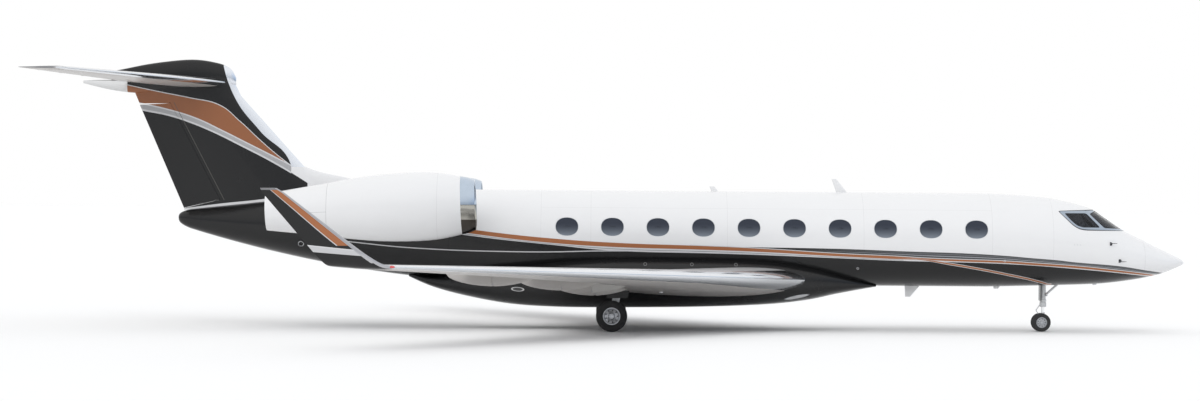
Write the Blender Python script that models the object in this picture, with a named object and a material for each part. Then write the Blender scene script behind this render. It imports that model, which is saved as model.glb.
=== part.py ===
"""Large-cabin twin-engine business jet, parked on its landing gear.

Metres. +X points to the nose, +Y to the port (left) side and +Z up. The origin is on the ground,
under the middle of the length and of the span. A "station" is a distance aft of the nose tip.
"""
import math

import bmesh
import bpy
from mathutils import Vector

# Fuselage
LENGTH = 33.07
CABIN_RADIUS = 1.36
CABIN_AXIS_Z = 2.66
WALL = 0.10
SEAM = 0.0003
RADOME_END = 1.25
NOSE_CAVITY_START = 1.75
NOSE_END = 5.75
CABIN_END = 18.75
AFT_END = 26.86
TAIL_END = 29.35
RING_POINTS = 28

# Station, top, bottom and half width of the nose sections
NOSE_SECTIONS = (
    (0.0, 2.055, 2.000, 0.030),
    (0.06, 2.110, 1.968, 0.105),
    (0.20, 2.190, 1.905, 0.225),
    (0.40, 2.285, 1.815, 0.360),
    (0.73, 2.438, 1.697, 0.540),
    (1.25, 2.697, 1.578, 0.760),
    (1.78, 2.961, 1.490, 0.935),
    (2.35, 3.340, 1.421, 1.070),
    (2.67, 3.556, 1.400, 1.130),
    (2.98, 3.682, 1.384, 1.180),
    (3.83, 3.876, 1.354, 1.280),
    (4.61, 3.960, 1.330, 1.330),
    (5.75, 4.020, 1.300, 1.360),
)
AFT_BOTTOM_START = 18.93
AFT_BOTTOM_CURVE = 0.01506
AFT_TOP_START = 20.90
AFT_TOP_CURVE = 0.01038
AFT_TOP_SLOPE = 0.124

# Windows and door
WINDOW_COUNT = 10
FIRST_WINDOW = 6.21
WINDOW_PITCH = 1.31
WINDOW_LENGTH = 0.66
WINDOW_HEIGHT = 0.53
WINDOW_Z = 2.97
WINDOW_POINTS = 12
DOOR_FRONT = 4.45
DOOR_REAR = 5.40
DOOR_SILL_Z = 1.80
DOOR_TOP_Z = 3.62
DOOR_GAP = 0.010
DOOR_HINGE_PROUD = 0.012
DOOR_HINGE_RADIUS = 0.008
DOOR_HINGE_END = 0.04
DOOR_LUG_STATIONS = (4.60, 4.925, 5.25)
DOOR_LUG_HALF_LENGTH = 0.025
DOOR_LUG_HEIGHT = 0.030
DOOR_LUG_ROOT = 0.045
FLOOR_Z = 2.00
FLOOR_THICKNESS = 0.05
FLOOR_EDGE_GAP = 0.006

# Wing: span position, leading edge, chord, height, thickness ratio, drop of the chord line per metre
WING_STATIONS = (
    (1.22, 11.05, 6.994, 1.475, 0.122, 0.035),
    (4.80, 13.876, 4.400, 1.628, 0.106, 0.022),
    (10.00, 17.984, 2.900, 1.850, 0.098, 0.008),
    (15.10, 22.013, 1.429, 2.067, 0.090, 0.000),
)
WING_KINK = 4.80

# Tail
STABILIZER_STATIONS = (
    (0.02, 27.90, 2.900, 7.085, 0.100, 0.0),
    (5.10, 31.77, 1.250, 7.275, 0.090, 0.0),
)
FIN_STATIONS = (
    (3.20, 24.368, 4.750, 0.0, 0.100, 0.0),
    (4.64, 25.680, 4.056, 0.0, 0.100, 0.0),
    (6.69, 27.545, 3.070, 0.0, 0.104, 0.0),
    (7.30, 27.850, 3.030, 0.0, 0.105, 0.0),
)

# Engines
NACELLE_Y = 2.60
NACELLE_FRONT = 20.58
NACELLE_FRONT_Z = 3.58
NACELLE_DROOP = math.radians(2.4)
NACELLE_POINTS = 24
FAN_BLADES = 12

# Landing gear
NOSE_GEAR_STATION = 4.10
NOSE_TRAIL = 0.06
NOSE_TYRE_RADIUS = 0.267
NOSE_TYRE_WIDTH = 0.18
NOSE_WHEEL_Y = 0.165
NOSE_RIM_RADIUS = 0.15
NOSE_AXLE_RADIUS = 0.028
MAIN_GEAR_STATION = 16.70
MAIN_LEG_STATION = 16.55
MAIN_GEAR_Y = 2.20
MAIN_TYRE_RADIUS = 0.445
MAIN_TYRE_WIDTH = 0.28
MAIN_WHEEL_Y = 0.31
MAIN_RIM_RADIUS = 0.24
MAIN_AXLE_RADIUS = 0.045
WHEEL_POINTS = 18

# Jack pads, under each wing and under the nose
JACK_PAD_RADIUS = 0.06
JACK_PAD_DROP = 0.03
JACK_PAD_ROOT = 0.05
WING_JACK_STATION = 15.30
WING_JACK_Y = 2.60
NOSE_JACK_STATION = 2.60

# Running clearances
COVE_GAP = 0.009
END_GAP = 0.012
TRAILING_EDGE_HALF = 0.006
HINGE_STUB_RADIUS = 0.018
HEEL = 0.03


def clear_scene():
    for obj in list(bpy.data.objects):
        bpy.data.objects.remove(obj, do_unlink=True)


def look(name, colour, roughness, metallic=0.0):
    """Principled material with one colour."""
    item = bpy.data.materials.new(name)
    item.use_nodes = True
    shader = item.node_tree.nodes["Principled BSDF"]
    shader.inputs["Base Color"].default_value = (*colour, 1.0)
    shader.inputs["Roughness"].default_value = roughness
    shader.inputs["Metallic"].default_value = metallic
    item.diffuse_color = (*colour, 1.0)
    return item


def at(station, y, z):
    """Point at a distance aft of the nose tip."""
    return Vector((LENGTH / 2 - station, y, z))


def mix(a, b, share):
    return a + (b - a) * share


def side_name(side):
    return "left" if side > 0 else "right"


# Solids


def skin(bm, first, second):
    """Faces between two rings of points, always with the same diagonals."""
    for i in range(len(first)):
        j = (i + 1) % len(first)
        bm.faces.new((first[i], first[j], second[j]))
        bm.faces.new((first[i], second[j], second[i]))


def loft(bm, rings, closed=False):
    """Skin a row of rings that have the same number of points."""
    loops = [[bm.verts.new(point) for point in ring] for ring in rings]
    for first, second in zip(loops, loops[1:]):
        skin(bm, first, second)
    if closed:
        skin(bm, loops[-1], loops[0])
    else:
        bm.faces.new(loops[0][::-1])
        bm.faces.new(loops[-1])


def tube(bm, outer, inner):
    """Two skins along the same stations, joined at both ends."""
    skins = [[[bm.verts.new(point) for point in ring] for ring in rings] for rings in (outer, inner)]
    for loops in skins:
        for first, second in zip(loops, loops[1:]):
            skin(bm, first, second)
    skin(bm, skins[0][0], skins[1][0])
    skin(bm, skins[0][-1], skins[1][-1])


def box(bm, low, high):
    """Box between two corners."""
    x0, y0, z0 = low
    x1, y1, z1 = high
    rings = [[Vector((x, y0, z0)), Vector((x, y1, z0)), Vector((x, y1, z1)), Vector((x, y0, z1))]
             for x in (x0, x1)]
    loft(bm, rings)


def turned(bm, base, direction, profile, count, closed=False, phase=0.0):
    """Turn a profile of (distance along the axis, radius) about an axis."""
    axis = Vector(direction).normalized()
    first = axis.orthogonal().normalized()
    if abs(axis.z) < 0.9:
        first = (Vector((0, 0, 1)) - axis * axis.z).normalized()
    second = axis.cross(first)
    rings = []
    for along, radius in profile:
        centre = Vector(base) + axis * along
        ring = []
        for i in range(count):
            angle = 2 * math.pi * (i + phase) / count
            ring.append(centre + (first * math.cos(angle) + second * math.sin(angle)) * radius)
        rings.append(ring)
    loft(bm, rings, closed)


def rod(bm, start, end, radius, count=12, phase=0.0):
    """Round bar between two points."""
    run = Vector(end) - Vector(start)
    turned(bm, start, run, ((0.0, radius), (run.length, radius)), count, phase=phase)


def part(name, bm, finish, origin=(0, 0, 0)):
    """Make one named object, with its origin on its joint's axis where it moves."""
    bmesh.ops.recalc_face_normals(bm, faces=bm.faces)
    bmesh.ops.translate(bm, verts=bm.verts, vec=-Vector(origin))
    mesh = bpy.data.meshes.new(name)
    bm.to_mesh(mesh)
    bm.free()
    if finish:
        mesh.materials.append(finish)
    mesh.shade_smooth()
    mesh.set_sharp_from_angle(angle=math.radians(32))
    obj = bpy.data.objects.new(name, mesh)
    obj.location = origin
    bpy.context.scene.collection.objects.link(obj)
    return obj


def tool(name, bm):
    """A shape that only cuts or adds to other objects."""
    obj = part(name, bm, None)
    obj.hide_render = True
    obj.display_type = "WIRE"
    return obj


def boolean(target, other, operation, overlapping=False):
    """Overlapping says that the other object is made of solids that run into each other."""
    modifier = target.modifiers.new(f"{operation.lower()} {other.name}", "BOOLEAN")
    modifier.object = other
    modifier.operation = operation
    modifier.solver = "EXACT"
    modifier.use_self = overlapping


def cut(target, other):
    boolean(target, other, "DIFFERENCE")


def unite(target, other, overlapping=False):
    boolean(target, other, "UNION", overlapping)


def keep(target, other):
    boolean(target, other, "INTERSECT")


def add_jack_pad(target, station, y, skin_z):
    """Short round pad with a flat lower face, rooted in the skin above it."""
    bm = bmesh.new()
    rod(bm, at(station, y, skin_z - JACK_PAD_DROP), at(station, y, skin_z + JACK_PAD_ROOT), JACK_PAD_RADIUS)
    unite(target, tool(f"jack_pad_{target.name}", bm))


# Fuselage sections


def nose_section(station):
    """Top, bottom and half width in the nose, smoothed between the named sections."""
    rows = NOSE_SECTIONS
    k = max(i for i in range(len(rows) - 1) if rows[i][0] <= station)
    low, high = rows[k], rows[k + 1]
    step = high[0] - low[0]
    share = (station - low[0]) / step
    before = rows[max(k - 1, 0)]
    after = rows[min(k + 2, len(rows) - 1)]
    values = []
    for i in (1, 2, 3):
        start_slope = (high[i] - before[i]) / (high[0] - before[0])
        end_slope = (after[i] - low[i]) / (after[0] - low[0])
        cubic = (
            (2 * share**3 - 3 * share**2 + 1) * low[i]
            + (share**3 - 2 * share**2 + share) * step * start_slope
            + (3 * share**2 - 2 * share**3) * high[i]
            + (share**3 - share**2) * step * end_slope
        )
        values.append(cubic)
    return values


def aft_section(station):
    """Top, bottom and half width behind the cabin."""
    bottom = CABIN_AXIS_Z - CABIN_RADIUS + AFT_BOTTOM_CURVE * max(station - AFT_BOTTOM_START, 0) ** 2
    straight = AFT_TOP_START + AFT_TOP_SLOPE / (2 * AFT_TOP_CURVE)
    curved = min(station, straight) - AFT_TOP_START
    top = CABIN_AXIS_Z + CABIN_RADIUS - AFT_TOP_CURVE * max(curved, 0) ** 2
    top -= AFT_TOP_SLOPE * max(station - straight, 0)
    return top, bottom, (top - bottom) / 2


def fuselage_section(station):
    if station < NOSE_END:
        return nose_section(station)
    return aft_section(station)


def fuselage_ring(station, inset=0.0):
    top, bottom, half_width = fuselage_section(station)
    centre = (top + bottom) / 2
    half_height = (top - bottom) / 2 - inset
    ring = []
    for i in range(RING_POINTS):
        angle = 2 * math.pi * i / RING_POINTS
        ring.append(at(station, (half_width - inset) * math.sin(angle), centre + half_height * math.cos(angle)))
    return ring


def ring_half_width(ring, z):
    """Half width of a faceted ring at one height."""
    widest = 0.0
    for a, b in zip(ring, ring[1:] + ring[:1]):
        if (a.z - z) * (b.z - z) < 0:
            widest = max(widest, mix(a.y, b.y, (z - a.z) / (b.z - a.z)))
    return widest


NOSE_RINGS = (1.25, 1.78, 2.05, 2.35, 2.67, 2.98, 3.83, 4.61, 5.75)
AFT_RINGS = (18.75, 20.2, 21.6, 22.9, 24.2, 25.5, 26.86)
CONE_RINGS = (26.86, 27.8, 28.7, 29.15, 29.35)


def fuselage_envelope(name, stations, inset):
    """Solid that follows the fuselage's skin, to trim what is seated on it."""
    bm = bmesh.new()
    loft(bm, [fuselage_ring(station, inset) for station in stations])
    return tool(name, bm)


def prism(bm, outline, y_low, y_high):
    """Side-view outline of (station, height) points, drawn across the fuselage."""
    loft(bm, [[at(station, y, z) for station, z in outline] for y in (y_low, y_high)])


WINDSHIELD_OUTLINE = ((3.80, 3.52), (2.60, 3.56), (1.70, 2.96), (3.27, 2.985))
SIDE_PANE = ((3.66, 3.43), (2.99, 3.39), (2.62, 3.045), (3.27, 3.045), (3.50, 3.16))
FRONT_PANE = ((2.87, 3.44), (2.60, 3.56), (1.84, 3.01), (2.46, 3.035))
CENTRE_POST = 0.045
FRAME_GAP = 0.0012


def shrink(outline, amount):
    """Move each corner of an outline towards its middle."""
    middle_s = sum(s for s, z in outline) / len(outline)
    middle_z = sum(z for s, z in outline) / len(outline)
    points = []
    for s, z in outline:
        run = math.hypot(s - middle_s, z - middle_z)
        points.append((s + (middle_s - s) / run * amount, z + (middle_z - z) / run * amount))
    return points


def pane_prisms(bm):
    """The four panes as prisms: two side panes, and two front panes beside the centre post."""
    prism(bm, SIDE_PANE, 0.55, 1.6)
    prism(bm, SIDE_PANE, -1.6, -0.55)
    prism(bm, FRONT_PANE, CENTRE_POST, 1.3)
    prism(bm, FRONT_PANE, -1.3, -CENTRE_POST)


def wall(bm, outer_inset, inner_inset, stations):
    """Fuselage wall between two depths."""
    outer = [fuselage_ring(station, outer_inset) for station in stations]
    inner = [fuselage_ring(station, inner_inset) for station in stations]
    tube(bm, outer, inner)


def build_fuselage(looks):
    bm = bmesh.new()
    radome_rings = (0.0, 0.06, 0.20, 0.40, 0.73, RADOME_END - SEAM)
    loft(bm, [fuselage_ring(station) for station in radome_rings])
    part("nose_radome", bm, looks["white"])

    bm = bmesh.new()
    outer = [fuselage_ring(station) for station in NOSE_RINGS[:-1] + (NOSE_END - SEAM,)]
    cavity = [station for station in NOSE_RINGS[:-1] if station >= NOSE_CAVITY_START] + [NOSE_END - SEAM]
    inner = [fuselage_ring(station, WALL) for station in reversed(cavity)]
    loft(bm, outer + inner)
    nose = part("fuselage_nose", bm, looks["white"])
    bm = bmesh.new()
    box(bm, at(DOOR_REAR, 0.55, DOOR_SILL_Z), at(DOOR_FRONT, 1.7, DOOR_TOP_Z))
    doorway = tool("doorway_cutter", bm)
    cut(nose, doorway)
    bm = bmesh.new()
    prism(bm, WINDSHIELD_OUTLINE, -1.7, 1.7)
    cut(nose, tool("windshield_cutter", bm))
    add_jack_pad(nose, NOSE_JACK_STATION, 0.0, nose_section(NOSE_JACK_STATION)[1])
    add_door_knuckles(nose)
    build_windshield(looks)

    bm = bmesh.new()
    cabin_rings = (NOSE_END, CABIN_END)
    wall(bm, 0.0, WALL, cabin_rings)
    cabin = part("fuselage_cabin", bm, looks["white"])
    bm = bmesh.new()
    for side in (1, -1):
        for i in range(WINDOW_COUNT):
            window_prism(bm, side, FIRST_WINDOW + WINDOW_PITCH * i, 0.0, 0.9, 1.7)
    cut(cabin, tool("window_cutter", bm))
    for side in (1, -1):
        build_cabin_windows(looks, side)

    bm = bmesh.new()
    rings = (CABIN_END + SEAM,) + AFT_RINGS[1:-1] + (AFT_END - SEAM,)
    hold = [fuselage_ring(station, WALL) for station in reversed(rings[:-1])]
    loft(bm, hold + [fuselage_ring(station) for station in rings])
    part("fuselage_aft", bm, looks["white"])
    bm = bmesh.new()
    loft(bm, [fuselage_ring(station) for station in CONE_RINGS])
    part("tail_cone", bm, looks["white"])


def window_outline(station, inset):
    """Rounded outline of one cabin window, with its points in pairs of the same height."""
    points = []
    for i in range(WINDOW_POINTS):
        angle = 2 * math.pi * (i + 0.5) / WINDOW_POINTS
        c, s = math.cos(angle), math.sin(angle)
        reach = (abs(c) ** 2.6 + abs(s) ** 2.6) ** (-1 / 2.6)
        points.append((station + (WINDOW_LENGTH / 2 - inset) * reach * c,
                       WINDOW_Z + (WINDOW_HEIGHT / 2 - inset) * reach * s))
    return points


def window_prism(bm, side, station, inset, y_low, y_high):
    prism(bm, window_outline(station, inset), side * y_low, side * y_high)


BELT_FIRST = 4
BELT_LAST = 8
BELT_THICKNESS = 0.02


def build_cabin_windows(looks, side):
    """The panes of one side, as one belt against the inside of the wall."""
    bm = bmesh.new()
    rings = []
    for station in (NOSE_END + 0.06, CABIN_END - 0.06):
        outer = fuselage_ring(station, WALL + SEAM)[BELT_FIRST:BELT_LAST + 1]
        inner = fuselage_ring(station, WALL + BELT_THICKNESS)[BELT_FIRST:BELT_LAST + 1]
        rings.append([Vector((p.x, side * p.y, p.z)) for p in outer + inner[::-1]])
    loft(bm, rings)
    part(f"cabin_windows_{side_name(side)}", bm, looks["glass"])


FRAME_DEPTH = 0.05
GLASS_DEPTH = 0.085
WINDSHIELD_RINGS = (1.25, 1.78, 2.05, 2.35, 2.67, 2.98, 3.83, 4.61)


def build_windshield(looks):
    """Metal frame with a centre post, and the glass of its four openings as one band behind it."""
    bm = bmesh.new()
    wall(bm, 0.0, FRAME_DEPTH, WINDSHIELD_RINGS)
    frame = part("windshield_frame", bm, looks["metal"])
    bm = bmesh.new()
    prism(bm, shrink(WINDSHIELD_OUTLINE, FRAME_GAP), -1.7, 1.7)
    outline = tool("windshield_outline", bm)
    keep(frame, outline)
    bm = bmesh.new()
    pane_prisms(bm)
    cut(frame, tool("pane_cutter", bm))

    bm = bmesh.new()
    wall(bm, FRAME_DEPTH + SEAM, GLASS_DEPTH, WINDSHIELD_RINGS)
    glass = part("windshield_glass", bm, looks["glass"])
    keep(glass, outline)


# Airstair door


def door_hinge(station):
    """Point on the hinge line, which follows the skin just outside the sill."""
    z = DOOR_SILL_Z + DOOR_GAP / 2
    ends = [ring_half_width(fuselage_ring(end), z) for end in (DOOR_FRONT, DOOR_REAR)]
    share = (station - DOOR_FRONT) / (DOOR_REAR - DOOR_FRONT)
    return at(station, mix(*ends, share) + DOOR_HINGE_PROUD, z)


def door_hinge_part(bm, stations, low, high, root):
    """Lug that ties the hinge line to the skin between two stations."""
    axis = door_hinge(sum(stations) / 2)
    box(bm, at(stations[1], axis.y - root, axis.z + low),
        at(stations[0], axis.y + DOOR_HINGE_RADIUS * 0.7, axis.z + high))


def add_door_knuckles(nose):
    """Fixed ends of the sill hinge, on the skin in front of and behind the doorway."""
    ends = ((DOOR_FRONT - DOOR_HINGE_END, DOOR_FRONT), (DOOR_REAR, DOOR_REAR + DOOR_HINGE_END))
    for i, (start, end) in enumerate(ends):
        bm = bmesh.new()
        rod(bm, door_hinge(start), door_hinge(end), DOOR_HINGE_RADIUS)
        unite(nose, tool(f"door_knuckle_{i}", bm))
        bm = bmesh.new()
        stations = (start + 0.001, end - 0.001)
        door_hinge_part(bm, stations, -0.7 * DOOR_HINGE_RADIUS, 0.7 * DOOR_HINGE_RADIUS, DOOR_LUG_ROOT)
        unite(nose, tool(f"door_knuckle_root_{i}", bm))


def build_door(looks):
    """Port entry door, hinged along its sill, with the steps on its inside."""
    sill = DOOR_SILL_Z + DOOR_GAP
    bm = bmesh.new()
    wall(bm, 0.0, WALL, (3.83, 4.61, NOSE_END))
    door = part("airstair_door", bm, looks["white"], door_hinge((DOOR_FRONT + DOOR_REAR) / 2))
    front, rear = DOOR_FRONT + DOOR_GAP, DOOR_REAR - DOOR_GAP
    bm = bmesh.new()
    box(bm, at(rear, 0.5, sill), at(front, 1.8, DOOR_TOP_Z - DOOR_GAP))
    keep(door, tool("door_outline", bm))
    bm = bmesh.new()
    step_front, step_rear = front + 0.12, rear - 0.12
    ring = fuselage_ring(4.61, WALL)
    for i in range(4):
        z = 2.12 + 0.34 * i
        edge = ring_half_width(ring, z)
        box(bm, at(step_rear, edge - 0.20, z), at(step_front, edge + 0.05, z + 0.035))
    for station in (step_front - 0.03, step_rear - 0.01):
        outline = [(ring_half_width(ring, z) - depth, z) for depth, z in
                   ((-0.05, 2.02), (0.10, 2.02), (0.16, 2.10), (0.16, 3.20), (0.10, 3.26), (-0.05, 3.26))]
        ends = [[at(s, y, z) for y, z in outline] for s in (station, station + 0.04)]
        loft(bm, ends)
    unite(door, tool("door_steps", bm), overlapping=True)
    bm = bmesh.new()
    rod(bm, door_hinge(DOOR_FRONT + SEAM), door_hinge(DOOR_REAR - SEAM), DOOR_HINGE_RADIUS)
    hinge_bar = tool("door_hinge_bar", bm)
    bm = bmesh.new()
    for station in DOOR_LUG_STATIONS:
        stations = (station - DOOR_LUG_HALF_LENGTH, station + DOOR_LUG_HALF_LENGTH)
        door_hinge_part(bm, stations, 0.001, DOOR_LUG_HEIGHT, DOOR_LUG_ROOT)
    unite(door, tool("door_lugs", bm))
    unite(door, hinge_bar)


# Cabin interior: steps are cut out of the floor inside the door
WELL_MARGIN = 0.05
WELL_SIDE = (0.50, 1.50)
WELL_HEIGHT = (1.80, 2.20)
BULKHEAD_FACES = (4.15, 4.11)
BULKHEAD_GAP = 0.012
DOORWAY_HALF_WIDTH = 0.36
DOORWAY_TOP = 3.70
PANEL_FOOT = FLOOR_Z + SEAM
PANEL_OUTLINE = ((2.36, PANEL_FOOT), (2.72, PANEL_FOOT), (2.72, 2.55), (2.80, 2.90), (2.74, 2.96), (2.36, 2.80))
PANEL_HALF_WIDTH = 0.84
PANEL_RINGS = (2.2, 2.35, 2.67, 2.98)
SEAT_STATION = 3.45
SEAT_Y = 0.50
SEAT_OUTLINE = ((-0.24, 0.42), (0.22, 0.40), (0.33, 1.02), (0.30, 1.20), (0.20, 1.20), (0.12, 0.52), (-0.24, 0.54))
SEAT_HALF_WIDTH = 0.24
PEDESTAL_HALF = (0.16, 0.15)
PEDESTAL_HEIGHT = 0.45


def build_interior(looks):
    bm = bmesh.new()
    rings = []
    floor_ends = [(station, FLOOR_EDGE_GAP) for station in NOSE_RINGS[3:-1] + (NOSE_END - 0.01,)]
    for station, gap in floor_ends + [(NOSE_END + 0.01, 2 * SEAM), (CABIN_END - SEAM, 2 * SEAM)]:
        ring = fuselage_ring(station, WALL)
        high = ring_half_width(ring, FLOOR_Z) - gap
        low = ring_half_width(ring, FLOOR_Z - FLOOR_THICKNESS) - gap
        rings.append([at(station, -high, FLOOR_Z), at(station, high, FLOOR_Z),
                      at(station, low, FLOOR_Z - FLOOR_THICKNESS), at(station, -low, FLOOR_Z - FLOOR_THICKNESS)])
    loft(bm, rings)
    floor = part("cabin_floor", bm, looks["carpet"])
    bm = bmesh.new()
    box(bm, at(DOOR_REAR + WELL_MARGIN, WELL_SIDE[0], WELL_HEIGHT[0]),
        at(DOOR_FRONT - WELL_MARGIN, WELL_SIDE[1], WELL_HEIGHT[1]))
    cut(floor, tool("floor_well_cutter", bm))

    bm = bmesh.new()
    loft(bm, [fuselage_ring(station, WALL + BULKHEAD_GAP) for station in BULKHEAD_FACES])
    bulkhead = part("cockpit_bulkhead", bm, looks["lining"])
    bm = bmesh.new()
    rear, front = BULKHEAD_FACES[0] + WELL_MARGIN, BULKHEAD_FACES[1] - WELL_MARGIN
    box(bm, at(rear, -DOORWAY_HALF_WIDTH, FLOOR_Z - WALL), at(front, DOORWAY_HALF_WIDTH, DOORWAY_TOP))
    cut(bulkhead, tool("cockpit_doorway", bm))
    bm = bmesh.new()
    box(bm, at(rear, -CABIN_RADIUS, 0.0), at(front, CABIN_RADIUS, FLOOR_Z + SEAM))
    cut(bulkhead, tool("bulkhead_foot", bm))

    bm = bmesh.new()
    prism(bm, PANEL_OUTLINE, -PANEL_HALF_WIDTH, PANEL_HALF_WIDTH)
    panel = part("instrument_panel", bm, looks["dark"])
    keep(panel, fuselage_envelope("panel_limit", PANEL_RINGS, WALL + 0.002))
    for side in (1, -1):
        build_seat(looks, f"pilot_seat_{side_name(side)}", SEAT_STATION, side * SEAT_Y)


def build_seat(looks, name, station, y):
    """Padded chair on a pedestal."""
    bm = bmesh.new()
    rings = [[at(station + s, y + half, FLOOR_Z + z) for s, z in SEAT_OUTLINE]
             for half in (-SEAT_HALF_WIDTH, SEAT_HALF_WIDTH)]
    loft(bm, rings)
    seat = part(name, bm, looks["leather"])
    bm = bmesh.new()
    length, width = PEDESTAL_HALF
    box(bm, at(station + length, y - width, FLOOR_Z + SEAM),
        at(station - length, y + width, FLOOR_Z + PEDESTAL_HEIGHT))
    unite(seat, tool(f"{name}_pedestal", bm))


# Lifting surfaces


def half_thickness(fraction):
    """Half thickness of the section for a thickness ratio of one, straight behind 65 per cent."""
    f = min(fraction, 0.65)
    value = 5 * (0.2969 * math.sqrt(f) - 0.1260 * f - 0.3516 * f**2 + 0.2843 * f**3 - 0.1036 * f**4)
    if fraction > 0.65:
        value *= (1 - fraction) / 0.35
    return value


UPPER_FRACTIONS = (1.0, 0.65, 0.45, 0.27, 0.13, 0.05, 0.012)


class Surface:
    """A swept surface in its own axes: station, span and lift."""

    def __init__(self, stations, place):
        self.stations = stations
        self.place = place

    def row(self, span):
        rows = self.stations
        k = 0
        while k < len(rows) - 2 and span > rows[k + 1][0]:
            k += 1
        share = (span - rows[k][0]) / (rows[k + 1][0] - rows[k][0])
        return [mix(a, b, share) for a, b in zip(rows[k][1:], rows[k + 1][1:])]

    def leading(self, span):
        return self.row(span)[0]

    def trailing(self, span):
        row = self.row(span)
        return row[0] + row[1]

    def middle(self, station, span):
        leading, _, height, _, drop = self.row(span)
        return height - (station - leading) * drop

    def half(self, station, span):
        leading, chord, _, thickness, _ = self.row(span)
        fraction = min(max((station - leading) / chord, 0.0), 1.0)
        return max(chord * thickness * half_thickness(fraction), TRAILING_EDGE_HALF)

    def station_at(self, fraction, span):
        leading, chord = self.row(span)[:2]
        return leading + fraction * chord

    def ring(self, span, grow=0.0):
        points = []
        for sign, fractions in ((1, UPPER_FRACTIONS), (-1, tuple(reversed(UPPER_FRACTIONS)))):
            for fraction in fractions:
                station = self.station_at(fraction, span)
                lift = self.middle(station, span) + sign * (self.half(station, span) + grow)
                points.append(self.place(station, span, lift))
            if sign == 1:
                station = self.leading(span)
                points.append(self.place(station - grow, span, self.middle(station, span)))
        return points

    def solid(self, bm, spans, grow=0.0):
        loft(bm, [self.ring(span, grow) for span in spans])


def wing_surface(side):
    return Surface(WING_STATIONS, lambda station, span, lift: at(station, side * span, lift))


def stabilizer_surface(side):
    return Surface(STABILIZER_STATIONS, lambda station, span, lift: at(station, side * span, lift))


def fin_surface():
    return Surface(FIN_STATIONS, lambda station, span, lift: at(station, lift, span))


class Movable:
    """A trailing-edge surface with a round nose on its hinge line, and the bay that it sits in."""

    def __init__(self, surface, nose_in, nose_out, tail_in=None, tail_out=None, arc_steps=6):
        self.surface = surface
        self.arc_steps = arc_steps
        run = (nose_out[0] - nose_in[0], nose_out[1] - nose_in[1])
        length = math.hypot(*run)
        self.along = (run[0] / length, run[1] / length)
        self.across = (self.along[1], -self.along[0])
        self.noses = (nose_in, nose_out)
        self.tails = (tail_in or self.tail(nose_in), tail_out or self.tail(nose_out))
        self.climb = (surface.middle(*nose_out) - surface.middle(*nose_in)) / length

    def tail(self, nose):
        """Where the line square to the hinge meets the trailing edge."""
        low, high = 0.0, 6.0
        for _ in range(40):
            reach = (low + high) / 2
            station = nose[0] + reach * self.across[0]
            span = nose[1] + reach * self.across[1]
            if station < self.surface.trailing(span):
                low = reach
            else:
                high = reach
        return station, span

    def shift(self, point, distance):
        return point[0] + self.along[0] * distance, point[1] + self.along[1] * distance

    def hinge_points(self):
        points = []
        for nose in self.noses:
            points.append(self.surface.place(nose[0], nose[1], self.surface.middle(*nose)))
        return points

    def end_points(self, end, shift, radius_gap, tail_reach, height):
        """Section at one end: the arc is square to the hinge, the rest runs to the tail."""
        nose = self.shift(self.noses[end], shift)
        tail = self.shift(self.tails[end], shift)
        run = (tail[0] - nose[0], tail[1] - nose[1])
        length = math.hypot(*run)
        stretch = (length + tail_reach) / length
        tail = (nose[0] + run[0] * stretch, nose[1] + run[1] * stretch)
        heel = (nose[0] + self.across[0] * HEEL, nose[1] + self.across[1] * HEEL)
        middle = self.surface.middle(*nose)
        radius = self.surface.half(*nose) + radius_gap
        tail_middle = self.surface.middle(*tail)
        points = []
        if height:
            up, down = height
            points.append((*tail, tail_middle + up))
            points.append((*heel, middle + up))
            points.append((*nose, middle + up))
        else:
            share = HEEL / length
            heel_middle = mix(middle, tail_middle, share)
            heel_half = mix(radius, TRAILING_EDGE_HALF, share)
            points.append((*tail, tail_middle + TRAILING_EDGE_HALF))
            points.append((*heel, heel_middle + heel_half))
        for i in range(self.arc_steps + 1):
            angle = math.pi * i / self.arc_steps
            ahead = -radius * math.sin(angle)
            points.append((nose[0] + self.across[0] * ahead, nose[1] + self.across[1] * ahead,
                           middle + radius * math.cos(angle)))
        if height:
            points.append((*nose, middle - down))
            points.append((*heel, middle - down))
            points.append((*tail, tail_middle - down))
        else:
            points.append((*heel, heel_middle - heel_half))
            points.append((*tail, tail_middle - TRAILING_EDGE_HALF))
        return [self.squared(point, middle) for point in points]

    def squared(self, point, middle):
        """Lean the end section so that it stays square to a hinge that climbs outward."""
        station, span, lift = point
        back = (lift - middle) * self.climb
        return self.surface.place(station - self.along[0] * back, span - self.along[1] * back, lift)

    def skin(self, bm, ends):
        """Loft with each end closed by two flat faces, which meet at the heel."""
        loops = [[bm.verts.new(point) for point in ring] for ring in ends]
        count = len(loops[0])
        for i in range(count):
            j = (i + 1) % count
            bm.faces.new((loops[0][i], loops[0][j], loops[1][j], loops[1][i]))
        for loop in loops:
            bm.faces.new((loop[0], loop[1], loop[-2], loop[-1]))
            bm.faces.new(loop[1:-1])

    def solid(self, bm, gap=END_GAP):
        self.skin(bm, [self.end_points(0, gap, 0.0, 0.0, None), self.end_points(1, -gap, 0.0, 0.0, None)])

    def bay(self, bm, height=(0.4, 0.4)):
        self.skin(bm, [self.end_points(end, 0.0, COVE_GAP, 0.5, height) for end in (0, 1)])

    def stubs(self, bm, gap=END_GAP):
        """Pivot stubs that reach both end walls of the bay."""
        first, last = self.hinge_points()
        run = (last - first).normalized()
        rod(bm, first + run * SEAM, first + run * (gap + 0.03), HINGE_STUB_RADIUS)
        rod(bm, last - run * SEAM, last - run * (gap + 0.03), HINGE_STUB_RADIUS)


# Hinge fairings under the flaps

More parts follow.
